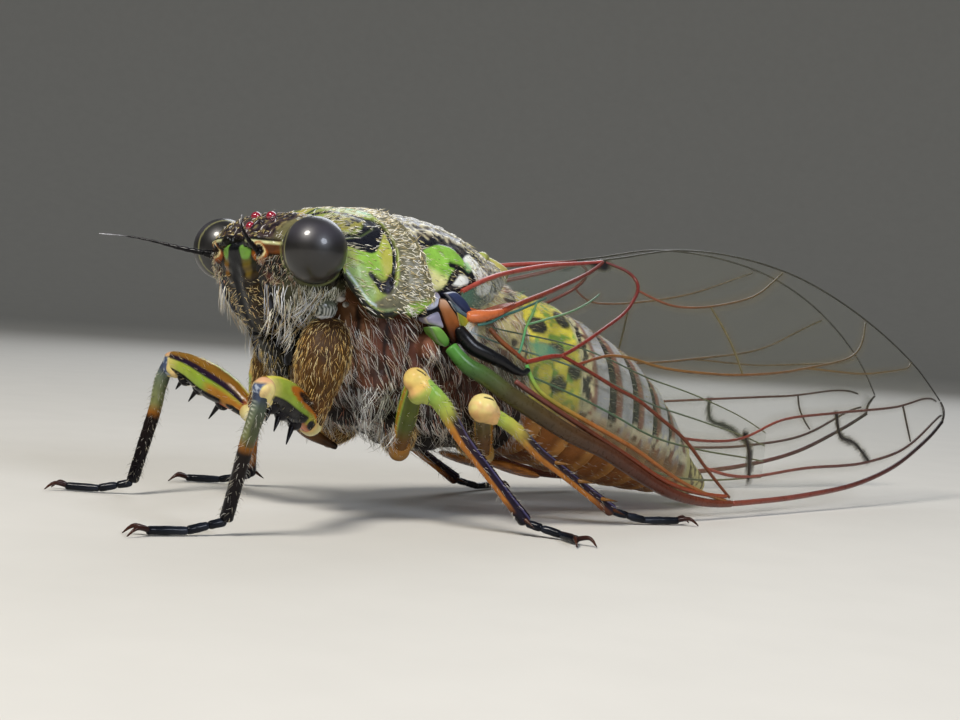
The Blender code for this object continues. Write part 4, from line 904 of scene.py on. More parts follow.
def make_front_shield():
    """The front shield, with its lime fields, black figures and a hairy collar."""
    skin = Surface(form(360, 170, front_shield_shape()))
    y, arc = skin.shield_place()
    band = patch(y, arc, shield(((3.3, 52), (2.85, 55), (2.4, 46), (1.85, 40), (1.2, 43), (1.2, 34), (1.9, 29),
                                 (2.5, 28), (2.95, 36), (3.25, 44))))
    split = stroke(y, arc, shield(((1.3, 37), (2.1, 39), (2.9, 46))), 0.06)
    sulcus = stroke(y, arc, shield(((3.2, 54), (3.3, 43), (3.38, 33), (3.28, 23), (3.12, 13))), 0.18)
    hook = patch(y, arc, shield(((3.2, 16), (3.18, 10), (2.95, 6), (2.6, 6), (2.38, 11), (2.36, 15), (2.6, 12.5),
                                 (2.8, 12.5), (3.0, 16))))
    comma = stroke(y, arc, shield(((2.16, 15.5), (2.28, 13.5), (2.45, 10.5))), 0.2)
    collar = patch(y, arc, shield(((3.3, 100), (3.38, 52), (3.5, 33), (3.42, 20), (3.27, 11), (2.7, 4), (2.3, 0),
                                   (2.6, -3.5), (4.0, -4), (5.6, -8), (5.9, 40), (5.9, 100))), 0.1)
    rim_line = [(1.2, 15), (1.35, 11), (1.6, 5.5), (1.9, 0), (2.25, -3.8), (2.6, -5.3), (3.05, -4.8), (3.4, -3.2)]
    margin = stroke(y, arc, shield(rim_line), 0.2) * step_up(-y, -3.3, 0.5)
    # A pale line just inside the black margin, pressed in a little: a painted highlight along the bead of the rim
    pale_highlight_line = stroke(y, arc, shield([(a + 0.1, b + 2.6) for a, b in rim_line[:5]]), 0.07)
    lobe = patch(y, arc, shield(((2.2, -1.5), (2.7, -2.8), (3.3, -2.2), (3.0, -4.5), (2.5, -5))), 0.12)
    corner = patch(y, arc, shield(((3.75, 0.5), (4.2, 3.0), (4.7, 3), (4.8, -5), (4.2, -6.5), (3.7, -3.5))), 0.15)
    arch = stroke(y, arc, shield(((1.1, 76), (1.6, 68), (2.2, 61), (2.75, 53))), 0.3)
    centre = step_up(arc, math.radians(84) * SHIELD_RADIUS, 0.08)
    beside_centre = stroke(y, arc, shield(((1.0, 79), (2.0, 81), (3.3, 78))), 0.22)
    gold_field = patch(y, arc, shield(((1.2, 62), (2.0, 58), (2.65, 51), (2.3, 46), (1.8, 42), (1.1, 45))))
    green_top = patch(y, arc, shield(((1.6, 84), (2.4, 76), (3.2, 60), (3.3, 66), (2.7, 84))), 0.1)
    bump = patch(y, arc, shield(((2.3, 4), (2.9, 8), (3.5, 8), (4.0, 4), (4.0, -2), (2.6, -3))), 0.6)
    relief = -0.08 * split - 0.14 * sulcus - 0.09 * hook - 0.05 * band + 0.04 * gold_field + 0.025 * skin.grain(0.5)
    push(skin, relief + 0.03 * collar * skin.grain(0.3) + 0.07 * margin + 0.05 * bump - 0.04 * pale_highlight_line)
    grain = skin.grain(0.2, 4.0)
    low = skin.normals[:, 2] < -0.35
    colours = layered(len(y), tint("shield"), (
        ("#86B444", 0.8 * patch(y, arc, shield(((1.75, 29), (2.6, 34), (3.25, 31), (3.3, 20), (3.0, 14), (2.4, 16),
                                                (1.8, 20))), 0.2)),
        ("#A9A048", 0.8 * patch(y, arc, shield(((2.7, 33), (3.25, 30), (3.2, 16), (2.75, 15))), 0.25)),
        ("#A8A24E", 0.5 * patch(y, arc, shield(((2.6, 45), (3.2, 46), (3.3, 34), (2.9, 33))), 0.2)),
        ("#84A86A", 0.6 * patch(y, arc, shield(((1.3, 20), (1.9, 20), (2.2, 10), (2.3, 0), (1.8, 5), (1.4, 12))), 0.2)),
        ("#8A8040", 0.8 * gold_field), ("#15151A", gold_field * step_up(grain, 0.06, 0.12)),
        ("#58A070", 0.8 * green_top),
        (tint("collar"), collar), ("#7C7860", 0.5 * collar * step_up(grain, 0.0, 0.4)),
        (tint("figure"), beside_centre), (tint("figure"), arch), (tint("figure"), band), ("#5E6E44", 0.7 * split),
        (tint("figure"), sulcus), ("#12121A", hook), ("#2C2838", hook * step_up(grain, 0.1, 0.3)), ("#12121A", comma),
        ("#A9A24A", 0.9 * centre * (1 - collar)),
        ("#7E9A58", 0.7 * lobe), ("#C8D8E0", 0.9 * pale_highlight_line), ("#0B0C10", margin), ("#7FA040", corner),
        ("#4F7A5A", 0.7 * step_up(skin.along, 0.93, 0.02) * (1 - corner)), ("#2A2A1C", low),
    ))
    paint(skin.mesh, colours)
    keep_skin("front_shield", skin.mesh)
    add_piece("front_shield_skin", skin.mesh, look("sclerite"), ["pronotum"])


def make_middle_shield():
    """The middle shield, black with cream stripes, lime side fields, white wax and the raised cross."""
    meshes = []
    skin = Surface(form(320, 160, body_shape(MESONOTUM)))
    y, arc = skin.shield_place()
    field = patch(y, arc, shield(((4.3, 24), (4.62, 30), (5.2, 36), (5.85, 39), (6.5, 38), (7.0, 31), (7.0, 27),
                                  (6.5, 25.5), (6.1, 21), (5.85, 15), (5.5, 11), (4.66, 8), (4.4, 12))))
    pale_edge = patch(y, arc, shield(((4.4, 22), (4.9, 24), (5.5, 20), (6.0, 17), (5.8, 11), (4.7, 7))), 0.3)
    comma = stroke(y, arc, shield(((6.15, 26.5), (6.7, 25.5), (7.2, 23), (7.5, 19), (7.1, 14), (6.0, 10))), 0.24)
    tuft = patch(y, arc, shield(((6.2, 15), (6.6, 21), (7.0, 21.5), (7.15, 18), (6.7, 15))))
    wax = patch(y, arc, shield(((7.0, 33), (7.6, 39), (8.3, 37), (9.2, 30), (8.9, 18), (8.3, 12), (7.7, 13), (7.75, 20), (7.5, 26))))
    rear = step_up(y, 8.8, 0.5)
    pale = np.zeros(len(y))
    for line in (((4.2, 50), (5.0, 49), (5.8, 49), (6.8, 47), (7.8, 44)),
                 ((4.2, 60), (5.0, 58), (6.0, 58), (7.2, 56), (8.6, 52)),
                 ((4.2, 71), (5.0, 68), (6.2, 66), (7.4, 67), (8.8, 66)),
                 ((4.3, 83), (6.4, 79), (7.8, 81), (9.2, 84))):
        pale = np.maximum(pale, stroke(y, arc, shield(line), 0.32, 0.15))
    bars = np.zeros(len(y))
    for start in (4.4, 4.9, 5.4, 5.9):
        slant = shield(((start, 62), (start + 0.25, 52), (start + 0.55, 44)))
        bars = np.maximum(bars, stroke(y, arc, slant, 0.13, 0.08))
    grain = skin.grain(0.2, 1.0)
    push(skin, 0.05 * field - 0.05 * comma + 0.05 * pale * step_up(grain, 0.0, 0.3) + 0.03 * skin.grain(0.4))
    colours = layered(len(y), "#12121A", (
        ("#CFC9AE", 0.85 * pale * step_up(grain, -0.1, 0.25)), ("#D8CFA8", 0.7 * bars * step_up(grain, -0.2, 0.25)),
        ("#54483A", 0.4 * step_up(skin.grain(0.3), 0.2, 0.2)),
        ("#B4B2AA", rear), ("#4A4844", rear * step_up(grain, 0.15, 0.2)),
        (tint("field"), field), ("#86B84A", 0.6 * patch(y, arc, shield(((5.2, 33), (6.2, 37), (6.7, 31), (5.8, 26))), 0.4)),
        ("#E9DFA0", 0.85 * pale_edge * field), (tint("wax"), wax), ("#0E0F16", comma), (tint("wax"), tuft),
        ("#9FD08A", 0.7 * patch(y, arc, shield(((6.9, 29), (7.3, 32), (7.5, 28), (7.2, 25))))),
    ))
    paint(skin.mesh, colours)
    keep_skin("middle_shield", skin.mesh)
    meshes.append(skin.mesh)
    for side in (-1, 1):
        for start, end in (((1.35, 9.3, 10.6), (0.1, 10.4, 10.6)), ((0.1, 10.3, 10.6), (0.95, 11.15, 9.95))):
            path = [mirrored(Vector(start).lerp(Vector(end), step / 3), side) for step in range(4)]
            arm = Surface(form(20, 24, limb_shape(path, (0.24, 0.3, 0.3, 0.24))))
            paint(arm.mesh, ramp(arm.along, ((0.0, "#8C9A4A"), (0.5, "#A8A05A"), (1.0, "#6B5A34"))))
            meshes.append(arm.mesh)
    add_piece("middle_shield_skin", joined(meshes), look("sclerite"), ["mesonotum"])


def make_thorax():
    """The flanks and chest as one skin of swollen plates, with knobs, folds and the small pale lobe."""
    forms = [form(80, 60, body_shape(THORAX, 2.6))]
    for side in (1, -1):
        for centre, radii in (((2.75, 2.7, 7.5), (0.75, 0.8, 0.8)), ((3.2, 3.9, 7.3), (0.42, 0.75, 0.8)),
                              ((3.05, 4.9, 5.9), (0.55, 0.7, 1.0)), ((2.8, 3.4, 5.6), (0.6, 0.7, 0.9)),
                              ((2.4, 6.6, 4.3), (0.7, 0.9, 0.8)), ((2.6, 7.9, 5.6), (0.6, 0.9, 1.1)),
                              ((3.0, 6.6, 6.4), (0.5, 0.7, 1.2)), ((2.55, 2.3, 6.3), (0.5, 0.55, 0.6)),
                              ((1.1, 3.4, 4.2), (0.9, 0.8, 0.6)), ((1.2, 7.0, 3.1), (0.8, 0.9, 0.45)),
                              ((2.5, 3.4, 4.4), (0.5, 0.55, 0.5)), ((2.6, 4.4, 3.9), (0.45, 0.5, 0.45))):
            forms.append(form(24, 18, ball_shape(mirrored(centre, side), radii)))
        forms.append(form(24, 18, ball_shape(mirrored(KNOB, side), (0.5, 0.45, 0.5))))
    skin = Surface(melted(forms, 0.07, 2))
    push(skin, 0.05 * skin.grain(0.6) + 0.03 * skin.grain(0.2, 3.0))
    x = np.abs(skin.x)
    knob = np.hypot(skin.y - KNOB.y, skin.z - KNOB.z) + 3 * (x < 3.3)
    # Dark lines between the swollen plates: painted shade in the grooves between them
    seam_shade = np.zeros(len(x))
    for line in (((2.2, 8.2), (2.15, 6.8), (2.5, 5.6), (2.7, 4.6)), ((3.4, 8.0), (3.3, 6.6), (3.9, 5.2), (3.8, 4.2)),
                 ((4.4, 6.4), (4.2, 5.2), (4.9, 4.2)), ((6.2, 7.4), (5.8, 6.0), (6.1, 4.6), (6.9, 3.8)),
                 ((2.2, 5.4), (3.2, 5.0), (4.4, 5.2), (5.8, 5.0))):
        seam_shade = np.maximum(seam_shade, stroke(skin.y, skin.z, line, 0.14, 0.1))
    colours = layered(len(x), tint("flank"), (
        ("#6A3E2E", 0.7 * step_up(skin.grain(0.8, 2.0), 0.0, 0.4)), ("#2A1D18", 0.8 * step_up(skin.grain(0.6, 8.0), 0.25, 0.2)),
        ("#6E4A2A", 0.6 * step_up(-skin.y, -2.6, 0.5)), ("#1A1412", step_up(-skin.z, -4.6, 0.9)),
        ("#15100F", 0.9 * seam_shade), ("#8A5A46", step_up(-knob, -0.5, 0.1)),
        ("#D8CC92", 0.9 * step_up(skin.y, 7.6, 0.4) * step_up(skin.z, 6.4, 0.4) * step_up(skin.grain(0.5, 3.0), -0.1, 0.2))))
    paint(skin.mesh, colours)
    keep_skin("thorax", skin.mesh)
    add_piece("thorax_skin", skin.mesh, look("soft_cuticle"), ["thorax"])

    lobes = []
    for side in (1, -1):
        bulb = Surface(form(48, 36, ball_shape(mirrored((2.55, 1.08, 8.12), side), (0.36, 0.52, 0.42))))
        ribs = np.cos(44 * (bulb.y + 0.9 * (bulb.z - 8.1) ** 2 + 0.3 * (bulb.z - 8.1)) + 2 * bulb.grain(0.3))
        low = step_up(-bulb.z, -8.2, 0.2)
        push(bulb, 0.02 * ribs * low)
        paint(bulb.mesh, layered(len(bulb.x), "#55594A", (
            ("#3A3D34", 0.6 * step_up(bulb.grain(0.3), 0.0, 0.3)), ("#2A2C2E", 0.7 * low), ("#C8C8BE", 0.7 * low * step_up(ribs, 0.2, 0.4)),
            ("#DADCE0", 0.9 * step_up(-bulb.z, -7.82, 0.05)))))
        lobes.append(bulb.mesh)
        for place, radii in (((2.62, 1.72, 8.55), (0.16, 0.24, 0.17)), ((2.8, 1.9, 8.3), (0.14, 0.18, 0.12)),
                             ((2.45, 1.5, 8.72), (0.14, 0.2, 0.1))):
            plate = Surface(form(24, 18, ball_shape(mirrored(place, side), radii)))
            paint(plate.mesh, layered(len(plate.x), "#C9C6C2", (("#6A665E", step_up(plate.grain(0.15), 0.2, 0.2)),)))
            lobes.append(plate.mesh)
    add_piece("neck_lobes", joined(lobes), look("polished_cuticle"))


def abdomen_shape(along, turn):
    """Rings that each widen to the rear and step down to the next."""
    rings = len(ABDOMEN) - 1
    if along < 0.02 or along > 0.98:
        place = 0.0 if along < 0.02 else 1.0
        share = along / 0.02 if along < 0.02 else (1 - along) / 0.02
    else:
        place = (along - 0.02) / 0.96
        share = 1.0
    y, top, side, bottom, half = between(ABDOMEN, place)
    part = (place * rings) % 1.0
    step = (0.09 * part - 0.04 - 0.12 * max(0.0, 1 - part / 0.08)) * share
    across = power(math.cos(turn), 0.9)
    upward = power(math.sin(turn), 0.9)
    height = (top - side) if upward > 0 else (side - bottom)
    return (half * share + step) * across, y, side + (height * share + step) * upward


def make_abdomen():
    """The ringed abdomen, yellow-green in front, then banded black, silver and pink-brown to a pale tip."""
    skin = Surface(form(160, 260, abdomen_shape))
    push(skin, 0.02 * skin.grain(0.25))
    rings = len(ABDOMEN) - 1
    place = np.clip((skin.along - 0.02) / 0.96, 0.0, 1.0) * rings
    part = place % 1.0
    up = skin.normals[:, 2]
    grain = skin.grain(0.35, 6.0)
    front = step_up(-skin.y, -13.5, 0.3) * step_up(up, -0.35, 0.3)
    spots = np.zeros(len(up))
    for y, z in ((12.2, 7.0), (12.3, 5.6), (13.1, 8.3), (13.2, 6.2), (11.5, 8.0)):
        spots = np.maximum(spots, step_up(-np.hypot((skin.y - y) * 0.8, skin.z - z), -0.36, 0.08))
    tufts = step_up(-np.abs(skin.y - 13.9), -0.35, 0.2) * step_up(grain, -0.05, 0.15) * step_up(up, -0.2, 0.3)
    belly = step_up(-up, 0.25, 0.3)
    colours = layered(len(up), "#1F1C1C", (
        ("#C2C2C2", 0.85 * step_up(part, 0.5, 0.2)), ("#94604E", 0.8 * step_up(-np.abs(part - 0.42), -0.12, 0.08)),
        ("#E2D8B4", 0.85 * step_up(-np.abs(skin.z - 4.2 + 0.22 * (skin.y - 14)), -0.45, 0.2) * step_up(grain, -0.1, 0.15)),
        (tint("abdomen"), front), ("#7FA83E", front * step_up(grain, 0.24, 0.2)), ("#101114", front * spots),
        ("#EDE4B0", 0.9 * tufts),
        ("#8A5528", belly), ("#B07A3E", belly * step_up(part, 0.7, 0.2)),
        ("#D6CC8A", step_up(skin.y, 21.9, 0.5)),
    ))
    paint(skin.mesh, colours)
    keep_skin("abdomen", skin.mesh)
    tip = Surface(form(48, 48, body_shape(PYGOFER, 2.1)))
    paint(tip.mesh, layered(len(tip.x), "#C9BE7C", (("#5A4A2C", step_up(tip.grain(0.3), 0.15, 0.2)),)))
    add_piece("abdomen_skin", joined([skin.mesh, tip.mesh]), look("soft_cuticle"), ["abdomen", "pygofer"])

    for side, name in ((1, "operculum_left"), (-1, "operculum_right")):
        def shape(along, turn, side=side):
            run = 2.3 * (1 - math.cos(math.pi * along)) / 2
            swell = math.sin(math.pi * along) ** 0.7
            height = 2.25 - 0.28 * run + 0.2 * swell * math.sin(turn)
            return side * (1.55 + 1.15 * swell * math.cos(turn)), 10.35 + run, height
        plate = Surface(form(48, 36, shape))
        paint(plate.mesh, layered(len(plate.x), "#A2662C", (("#6B3E1C", 0.6 * step_up(plate.grain(0.4), 0.1, 0.2)),)))
        add_piece(name + "_skin", plate.mesh, look("polished_cuticle"), [name])


def wing_spot(side, along, across, lift=0.0):
    """A place on the wing sheet, lifted outward by lift."""
    front = Vector(between(FRONT_EDGE, along))
    rear = Vector(between(REAR_EDGE, along))
    before = Vector(between(FRONT_EDGE, along - 0.004)) + Vector(between(REAR_EDGE, along - 0.004))
    after = Vector(between(FRONT_EDGE, along + 0.004)) + Vector(between(REAR_EDGE, along + 0.004))
    chord = rear - front
    outward = chord.cross(after - before).normalized()
    if outward.x < 0:
        outward.negate()
    bow = WING_BOW * min(1.0, chord.length / BOW_WIDTH) * math.sin(math.pi * min(max(across, 0.0), 1.0) ** 0.9)
    return mirrored(front + chord * across + outward * (bow + lift), side)


def sheet(side, columns, rows, place_of, lift, thickness):
    """A thin closed film over (along, across) places of the wing."""
    bm = bmesh.new()
    bmesh.ops.create_grid(bm, x_segments=columns, y_segments=rows, size=0.5)
    along_layer = bm.verts.layers.float.new("along")
    turn_layer = bm.verts.layers.float.new("turn")
    for vert in bm.verts:
        along, across = place_of(vert.co.x + 0.5, vert.co.y + 0.5)
        vert[along_layer] = along
        vert[turn_layer] = across
        vert.co = wing_spot(side, along, across, lift)
    return evaluated(to_mesh(bm), "SOLIDIFY", {"thickness": thickness, "offset": 0.0})


def vein_tube(side, places, radius, colours, lift=0.0, widths=None):
    """One vein as a tube that follows the sheet."""
    count = 3 * len(places)
    path = [wing_spot(side, *between(places, step / count), lift) for step in range(count + 1)]
    radii = widths or (radius, radius, radius, radius * 0.8)
    tube = Surface(form(10, 4 * count, limb_shape(path, radii, hint=Vector((1.0, 0.0, 0.3)))))
    share = (1 - np.cos(np.pi * tube.along)) / 2
    stops = [(index / (len(colours) - 1), code) for index, code in enumerate(colours)]
    return paint(tube.mesh, ramp(share, stops))


def make_forewings():
    """Clear forewings: a smoky film, red to black veins, a thick olive front edge and a thin rim."""
    for side, name in ((1, "forewing_left"), (-1, "forewing_right")):
        film = Surface(sheet(side, 240, 90, lambda a, b: (a, b), 0.0, measure("film_thickness")))
        along, across = film.along, film.turn
        wide = across * 9.0
        far = along * 36.3
        near_vein = np.full(len(along), 9.0)
        for places, radius, codes in VEINS.values():
            track = [(a * 36.3, b * 9.0) for a, b in places]
            near_vein = np.minimum(near_vein, line_distance(far, wide, smoothed(track)))
        stain = np.zeros(len(along))
        for place, width in (("node_cross", 0.13), ("outer_cross", 0.12)):
            track = [(a * 36.3, b * 9.0) for a, b in VEINS[place][0]]
            stain = np.maximum(stain, step_up(-line_distance(far, wide, smoothed(track)), -width * (1.0 + 0.8 * film.grain(0.5)), 0.14))
        tip = step_up(-line_distance(far, wide, [(36.3, -1.0), (36.3, 6.0)]), -1.0, 1.4)
        base = step_up(-along, -0.05, 0.05)
        teal = patch(along, across, ((0.17, 0.34), (0.2, 0.37), (0.222, 0.33), (0.2, 0.27), (0.18, 0.28)), 0.02)
        clavus = patch(along, across, ((0.02, 0.5), (0.2, 0.75), (0.34, 0.96), (0.2, 0.99), (0.02, 0.97)), 0.05)
        blot = patch(along, across, ((0.33, 0.985), (0.36, 0.93), (0.385, 0.96), (0.375, 1.0)), 0.02)
        halo = step_up(-near_vein, -0.2, 0.3)
        colours = layered(len(along), tint("film"), (
            ("#776A4A", halo), ("#4E9A80", 0.7 * teal), ("#5C7A70", 0.4 * clavus), ("#4E8A70", 0.5 * base),
            ("#14110F", stain), ("#2A2826", 0.7 * tip), ("#0C0B0D", blot)))
        cover = 0.07 + 0.1 * halo + 0.06 * clavus + 0.45 * teal + 0.2 * base
        cover = np.maximum(np.maximum(cover, 0.9 * stain), np.maximum(0.95 * blot, 0.35 * tip))
        paint(film.mesh, colours, np.clip(cover, 0.0, 1.0))
        add_piece(name + "_film", film.mesh, look("wing_membrane"), [name])

        tubes = [vein_tube(side, places, radius * plain("vein_width"), codes) for places, radius, codes in VEINS.values()]
        edge = [*EDGE_ROOT, *((0.3 + (NODE_PLACE - 0.3) * step / 6, 0.0) for step in range(7))]
        tubes.append(vein_tube(side, edge, 0.3, EDGE_COLOURS,
                               widths=(0.26, 0.36, 0.36, 0.32, 0.28, 0.22, 0.16)))
        wedge = ((0.036, 0.3), (0.06, 0.4), (0.085, 0.475), (0.115, 0.55))
        tubes.append(vein_tube(side, wedge, 0.3, ("#C87040", "#B85E34"), widths=(0.2, 0.26, 0.2, 0.14)))
        second = [(0.16 + (NODE_PLACE - 0.17) * step / 10, 0.045 - 0.02 * step / 10) for step in range(11)]
        tubes.append(vein_tube(side, second, 0.11, ("#6E4038", "#5A2E1C", "#7A3820", "#8A4226")))
        bar = ((0.03, 0.06), (0.045, 0.04), (0.065, 0.035), (0.093, 0.075), (0.127, 0.1), (0.15, 0.1), (0.167, 0.113),
               (0.176, 0.155))
        tubes.append(vein_tube(side, bar, 0.3, ("#0C0B0E", "#0B0B0E", "#0B0B0E", "#0E1012"),
                               lift=0.05, widths=(0.2, 0.3, 0.3, 0.24, 0.16, 0.1)))
        outer = [(NODE_PLACE + (0.995 - NODE_PLACE) * step / 10, 0.0) for step in range(11)]
        tubes.append(vein_tube(side, outer, 0.11, ("#7A3E30", "#783C32", "#5E3029", "#3E2C2A", "#24201D"),
                               widths=(0.13, 0.13, 0.11, 0.09)))
        rear = [(0.37 + 0.62 * step / 14, 0.995) for step in range(15)]
        tubes.append(vein_tube(side, rear, 0.045, ("#3C3A30", "#3C3A30", "#2C2A26")))
        tip_edge = [(0.992, step / 4) for step in range(5)]
        tubes.append(vein_tube(side, tip_edge, 0.06, ("#26221F", "#26221F")))
        add_piece(name + "_veins", joined(tubes), look("wing_vein"))


def hind_place(along, share):
    """The hindwing lies folded under the front half of the forewing."""
    narrowing = 1 - 0.6 * (along / HINDWING_REACH) ** 4
    return along, 0.1 + 0.42 * share * narrowing


def make_hindwings():
    """Small clear hindwings with green veins."""
    for side, name in ((1, "hindwing_left"), (-1, "hindwing_right")):
        film = Surface(sheet(side, 120, 40, lambda a, b: hind_place(0.03 + (HINDWING_REACH - 0.03) * a, b),
                             -HINDWING_DEPTH, measure("film_thickness")))
        paint(film.mesh, layered(len(film.x), "#7E8A70", ()), np.full(len(film.x), 0.07))
        add_piece(name + "_film", film.mesh, look("wing_membrane"), [name])
        tubes = []
        for share, radius, code in ((0.0, 0.05, "#56683E"), (1.0, 0.035, "#50644E"), *HIND_VEINS):
            places = [hind_place(0.03 + (HINDWING_REACH - 0.03) * step / 12, share) for step in range(13)]
            tubes.append(vein_tube(side, places, radius, (code, code, "#6B6A48"), -HINDWING_DEPTH))
        add_piece(name + "_veins", joined(tubes), look("wing_vein"))


def pillow(side, x, outline, outward, inward):
    """A swollen plate that faces sideways, on an outline of (y, z) places."""
    closed = outline + outline[:1]
    middle_y = sum(y for y, z in outline) / len(outline)
    middle_z = sum(z for y, z in outline) / len(outline)

    def shape(along, turn):
        y, z = between(closed, (turn / math.tau) % 1.0)
        share = math.sin(math.pi * along) ** 0.5
        lift = math.cos(math.pi * along)
        depth = lift * (outward if lift > 0 else inward)
        return Vector((side * (x + depth), middle_y + (y - middle_y) * share, middle_z + (z - middle_z) * share))
    return shape


def make_wing_roots():
    """The plates that hinge each forewing: pale and black scales, an amber strut, dark blades and a wedge."""
    plates = (
        (4.0, ((4.66, 8.95), (5.03, 9.05), (5.28, 8.87), (5.26, 8.57), (4.99, 8.32), (4.67, 8.19), (4.56, 8.45),
               (4.63, 8.72)), "z", ("#3A3844", "#C6CADC", "#B0B2C6", "#7A6872"), "#2A2830"),
        (4.04, ((4.48, 8.26), (4.9, 8.36), (5.22, 8.49), (5.33, 8.31), (4.91, 8.17), (4.54, 8.04)), "z",
         ("#0E0D12", "#14131A"), "#3A3846"),
        (4.1, ((4.56, 8.0), (4.88, 8.21), (5.16, 8.26), (5.33, 7.97), (5.45, 7.67), (5.06, 7.72), (4.72, 7.82)), "z",
         ("#B4AEB8", "#8E8AA2", "#A8A6BC"), "#D8CCC0"),
        (4.1, ((5.16, 8.79), (5.45, 8.77), (5.71, 8.52), (6.03, 8.19), (6.26, 7.78), (6.44, 7.33), (6.12, 7.09),
               (5.82, 7.26), (5.54, 7.75), (5.31, 8.19), (5.14, 8.49)), "z",
         ("#1C110C", "#4A2412", "#8A4E26", "#96603A", "#C8A68C"), "#2A1610"),
        (4.02, ((5.54, 8.81), (5.85, 8.64), (6.16, 8.31), (6.5, 7.83), (6.78, 7.42), (6.51, 7.06), (6.14, 7.47),
                (5.84, 8.14)), "z", ("#0C0C10", "#0C0C10"), "#0C0C10"),
        (4.08, ((5.49, 9.0), (5.92, 9.07), (6.38, 8.83), (6.7, 8.5), (6.99, 8.05), (6.63, 8.15), (6.22, 8.43),
                (5.81, 8.71)), "z", ("#1A1D30", "#2C3350", "#343C58"), "#B8BCCA"),
        (4.12, ((5.63, 8.71), (6.09, 8.46), (6.54, 8.26), (6.96, 7.97), (6.88, 7.81), (6.36, 8.13), (5.95, 8.34)), "z",
         ("#2E3A44", "#5E707C"), "#D4DAE0"),
        (4.15, ((6.02, 8.31), (6.47, 8.14), (6.94, 7.89), (6.76, 7.62), (6.48, 7.45), (6.21, 7.78)), "y",
         ("#5E7A28", "#9A8A2A", "#D08428"), "#A89060"),
        (4.3, ((4.69, 7.68), (5.06, 7.7), (5.36, 7.52), (5.63, 7.19), (5.5, 6.96), (5.16, 7.1), (4.9, 7.39)), "z",
         ("#4E7E34", "#74A04A"), "#8AA27A"),
        (4.02, ((6.62, 8.53), (7.02, 8.4), (7.62, 8.39), (8.32, 8.55), (9.07, 8.87), (8.48, 8.52), (7.84, 8.21),
                (7.4, 8.03), (7.07, 7.82), (6.85, 8.16)), "y", ("#B85A2A", "#A0482A", "#7E3626"), "#6E3022"),
    )
    for side, name in ((1, "left"), (-1, "right")):
        meshes = []
        for x, outline, way, codes, rim in plates:
            plate = Surface(form(40, 24, pillow(side, x, outline, 0.16, 0.7)))
            run = plate.y if way == "y" else plate.z
            low, high = min(run), max(run)
            stops = [(index / (len(codes) - 1), code) for index, code in enumerate(codes)]
            colours = ramp((run - low) / (high - low), stops)
            edge = step_up(np.abs(plate.along - 0.5), -0.2, 0.01) * step_up(-np.abs(plate.along - 0.44), -0.1, 0.05)
            colours += (np.array(linear(rim)) - colours) * (0.85 * edge)[:, None]
            meshes.append(paint(plate.mesh, colours))
        add_piece("wing_root_" + name, joined(meshes), look("polished_cuticle"))


def leg_part(path, radii, stops, flatness=1.0, sides=28, rings=72):
    """One swept part of a leg, coloured from root to tip."""
    part = Surface(form(sides, rings, limb_shape(path, radii, flatness)))
    share = (1 - np.cos(np.pi * part.along)) / 2
    push(part, 0.012 * part.grain(0.2))
    return part, ramp(share, stops), share


def spine(root, tip, radius, codes):
    """A tapered spine."""
    path = [Vector(root).lerp(Vector(tip), step / 3) for step in range(4)]
    thorn = Surface(form(8, 10, limb_shape(path, (radius, radius * 0.8, radius * 0.5, radius * 0.15),
                                           hint=Vector((0.3, 0.2, 1.0)))))
    return paint(thorn.mesh, ramp(thorn.along, ((0.0, codes[0]), (1.0, codes[1]))))


def make_knee(kind, knee, heading, shin, outward):
    """The swollen joint: pale lobes melted together, with a dark slit, or a slate-blue shield on a fore knee."""
    radius = measure("knee_radius") * KNEE_SHARE[kind]
    lobes = [(knee + heading * along + shin * down + Vector((0.0, 0.0, -1.0)) * drop, share)
             for along, down, drop, share in KNEE_LOBES[kind]]
    balls = [form(24, 18, ball_shape(centre, [radius * share] * 3)) for centre, share in lobes]
    ball = Surface(melted(balls, 0.045, 9))
    spot = (ball.spots - np.array(lobes[0][0])) / radius
    mark_at = Vector((0.1 * outward, -0.85, 0.12)) if kind == "fore" else Vector((0.6 * outward, -0.1, 0.75))
    mark_at = np.array(mark_at.normalized())
    across = np.cross(mark_at, np.array(shin))
    across /= np.linalg.norm(across)
    run = np.cross(across, mark_at)
    grain = ball.grain(0.35)
    facing = step_up(ball.normals @ mark_at, 0.3, 0.25)
    if kind == "fore":
        slate = facing * step_up(-np.abs(spot @ across), -0.62, 0.12) * step_up(-spot[:, 2], -0.55, 0.15)
        tints = (("#C88A72", 0.7 * step_up(spot[:, 2], 0.55, 0.3)), ("#C89A7A", 0.4 * step_up(grain, 0.05, 0.3)),
                 ("#4A5672", slate), ("#B8C2D0", 0.7 * slate * step_up(ball.grain(0.14, 5.0), 0.15, 0.2)))
        push(ball, -0.05 * slate + 0.02 * grain)
    else:
        slit = facing * step_up(-np.abs(spot @ across - 0.3 * (spot @ run) ** 2), -0.08, 0.05)
        slit *= step_up(-np.abs(spot @ run - 0.15), -0.42, 0.08)
        tints = (("#D8A47A", 0.5 * step_up(grain, 0.1, 0.3)), ("#D8A060", 0.6 * step_up(-spot[:, 2], 0.2, 0.4)),
                 ("#D8B860", 0.6 * step_up(spot @ np.array(heading), 0.1, 0.4) * (kind == "mid")),
                 ("#9AB24E", 0.8 * step_up(spot @ np.array(shin), 0.75, 0.4) * (kind == "mid")),
                 ("#0E0D10", slit))
        push(ball, 0.02 * grain - 0.04 * slit)
    return paint(ball.mesh, layered(len(ball.x), tint("knee"), tints))


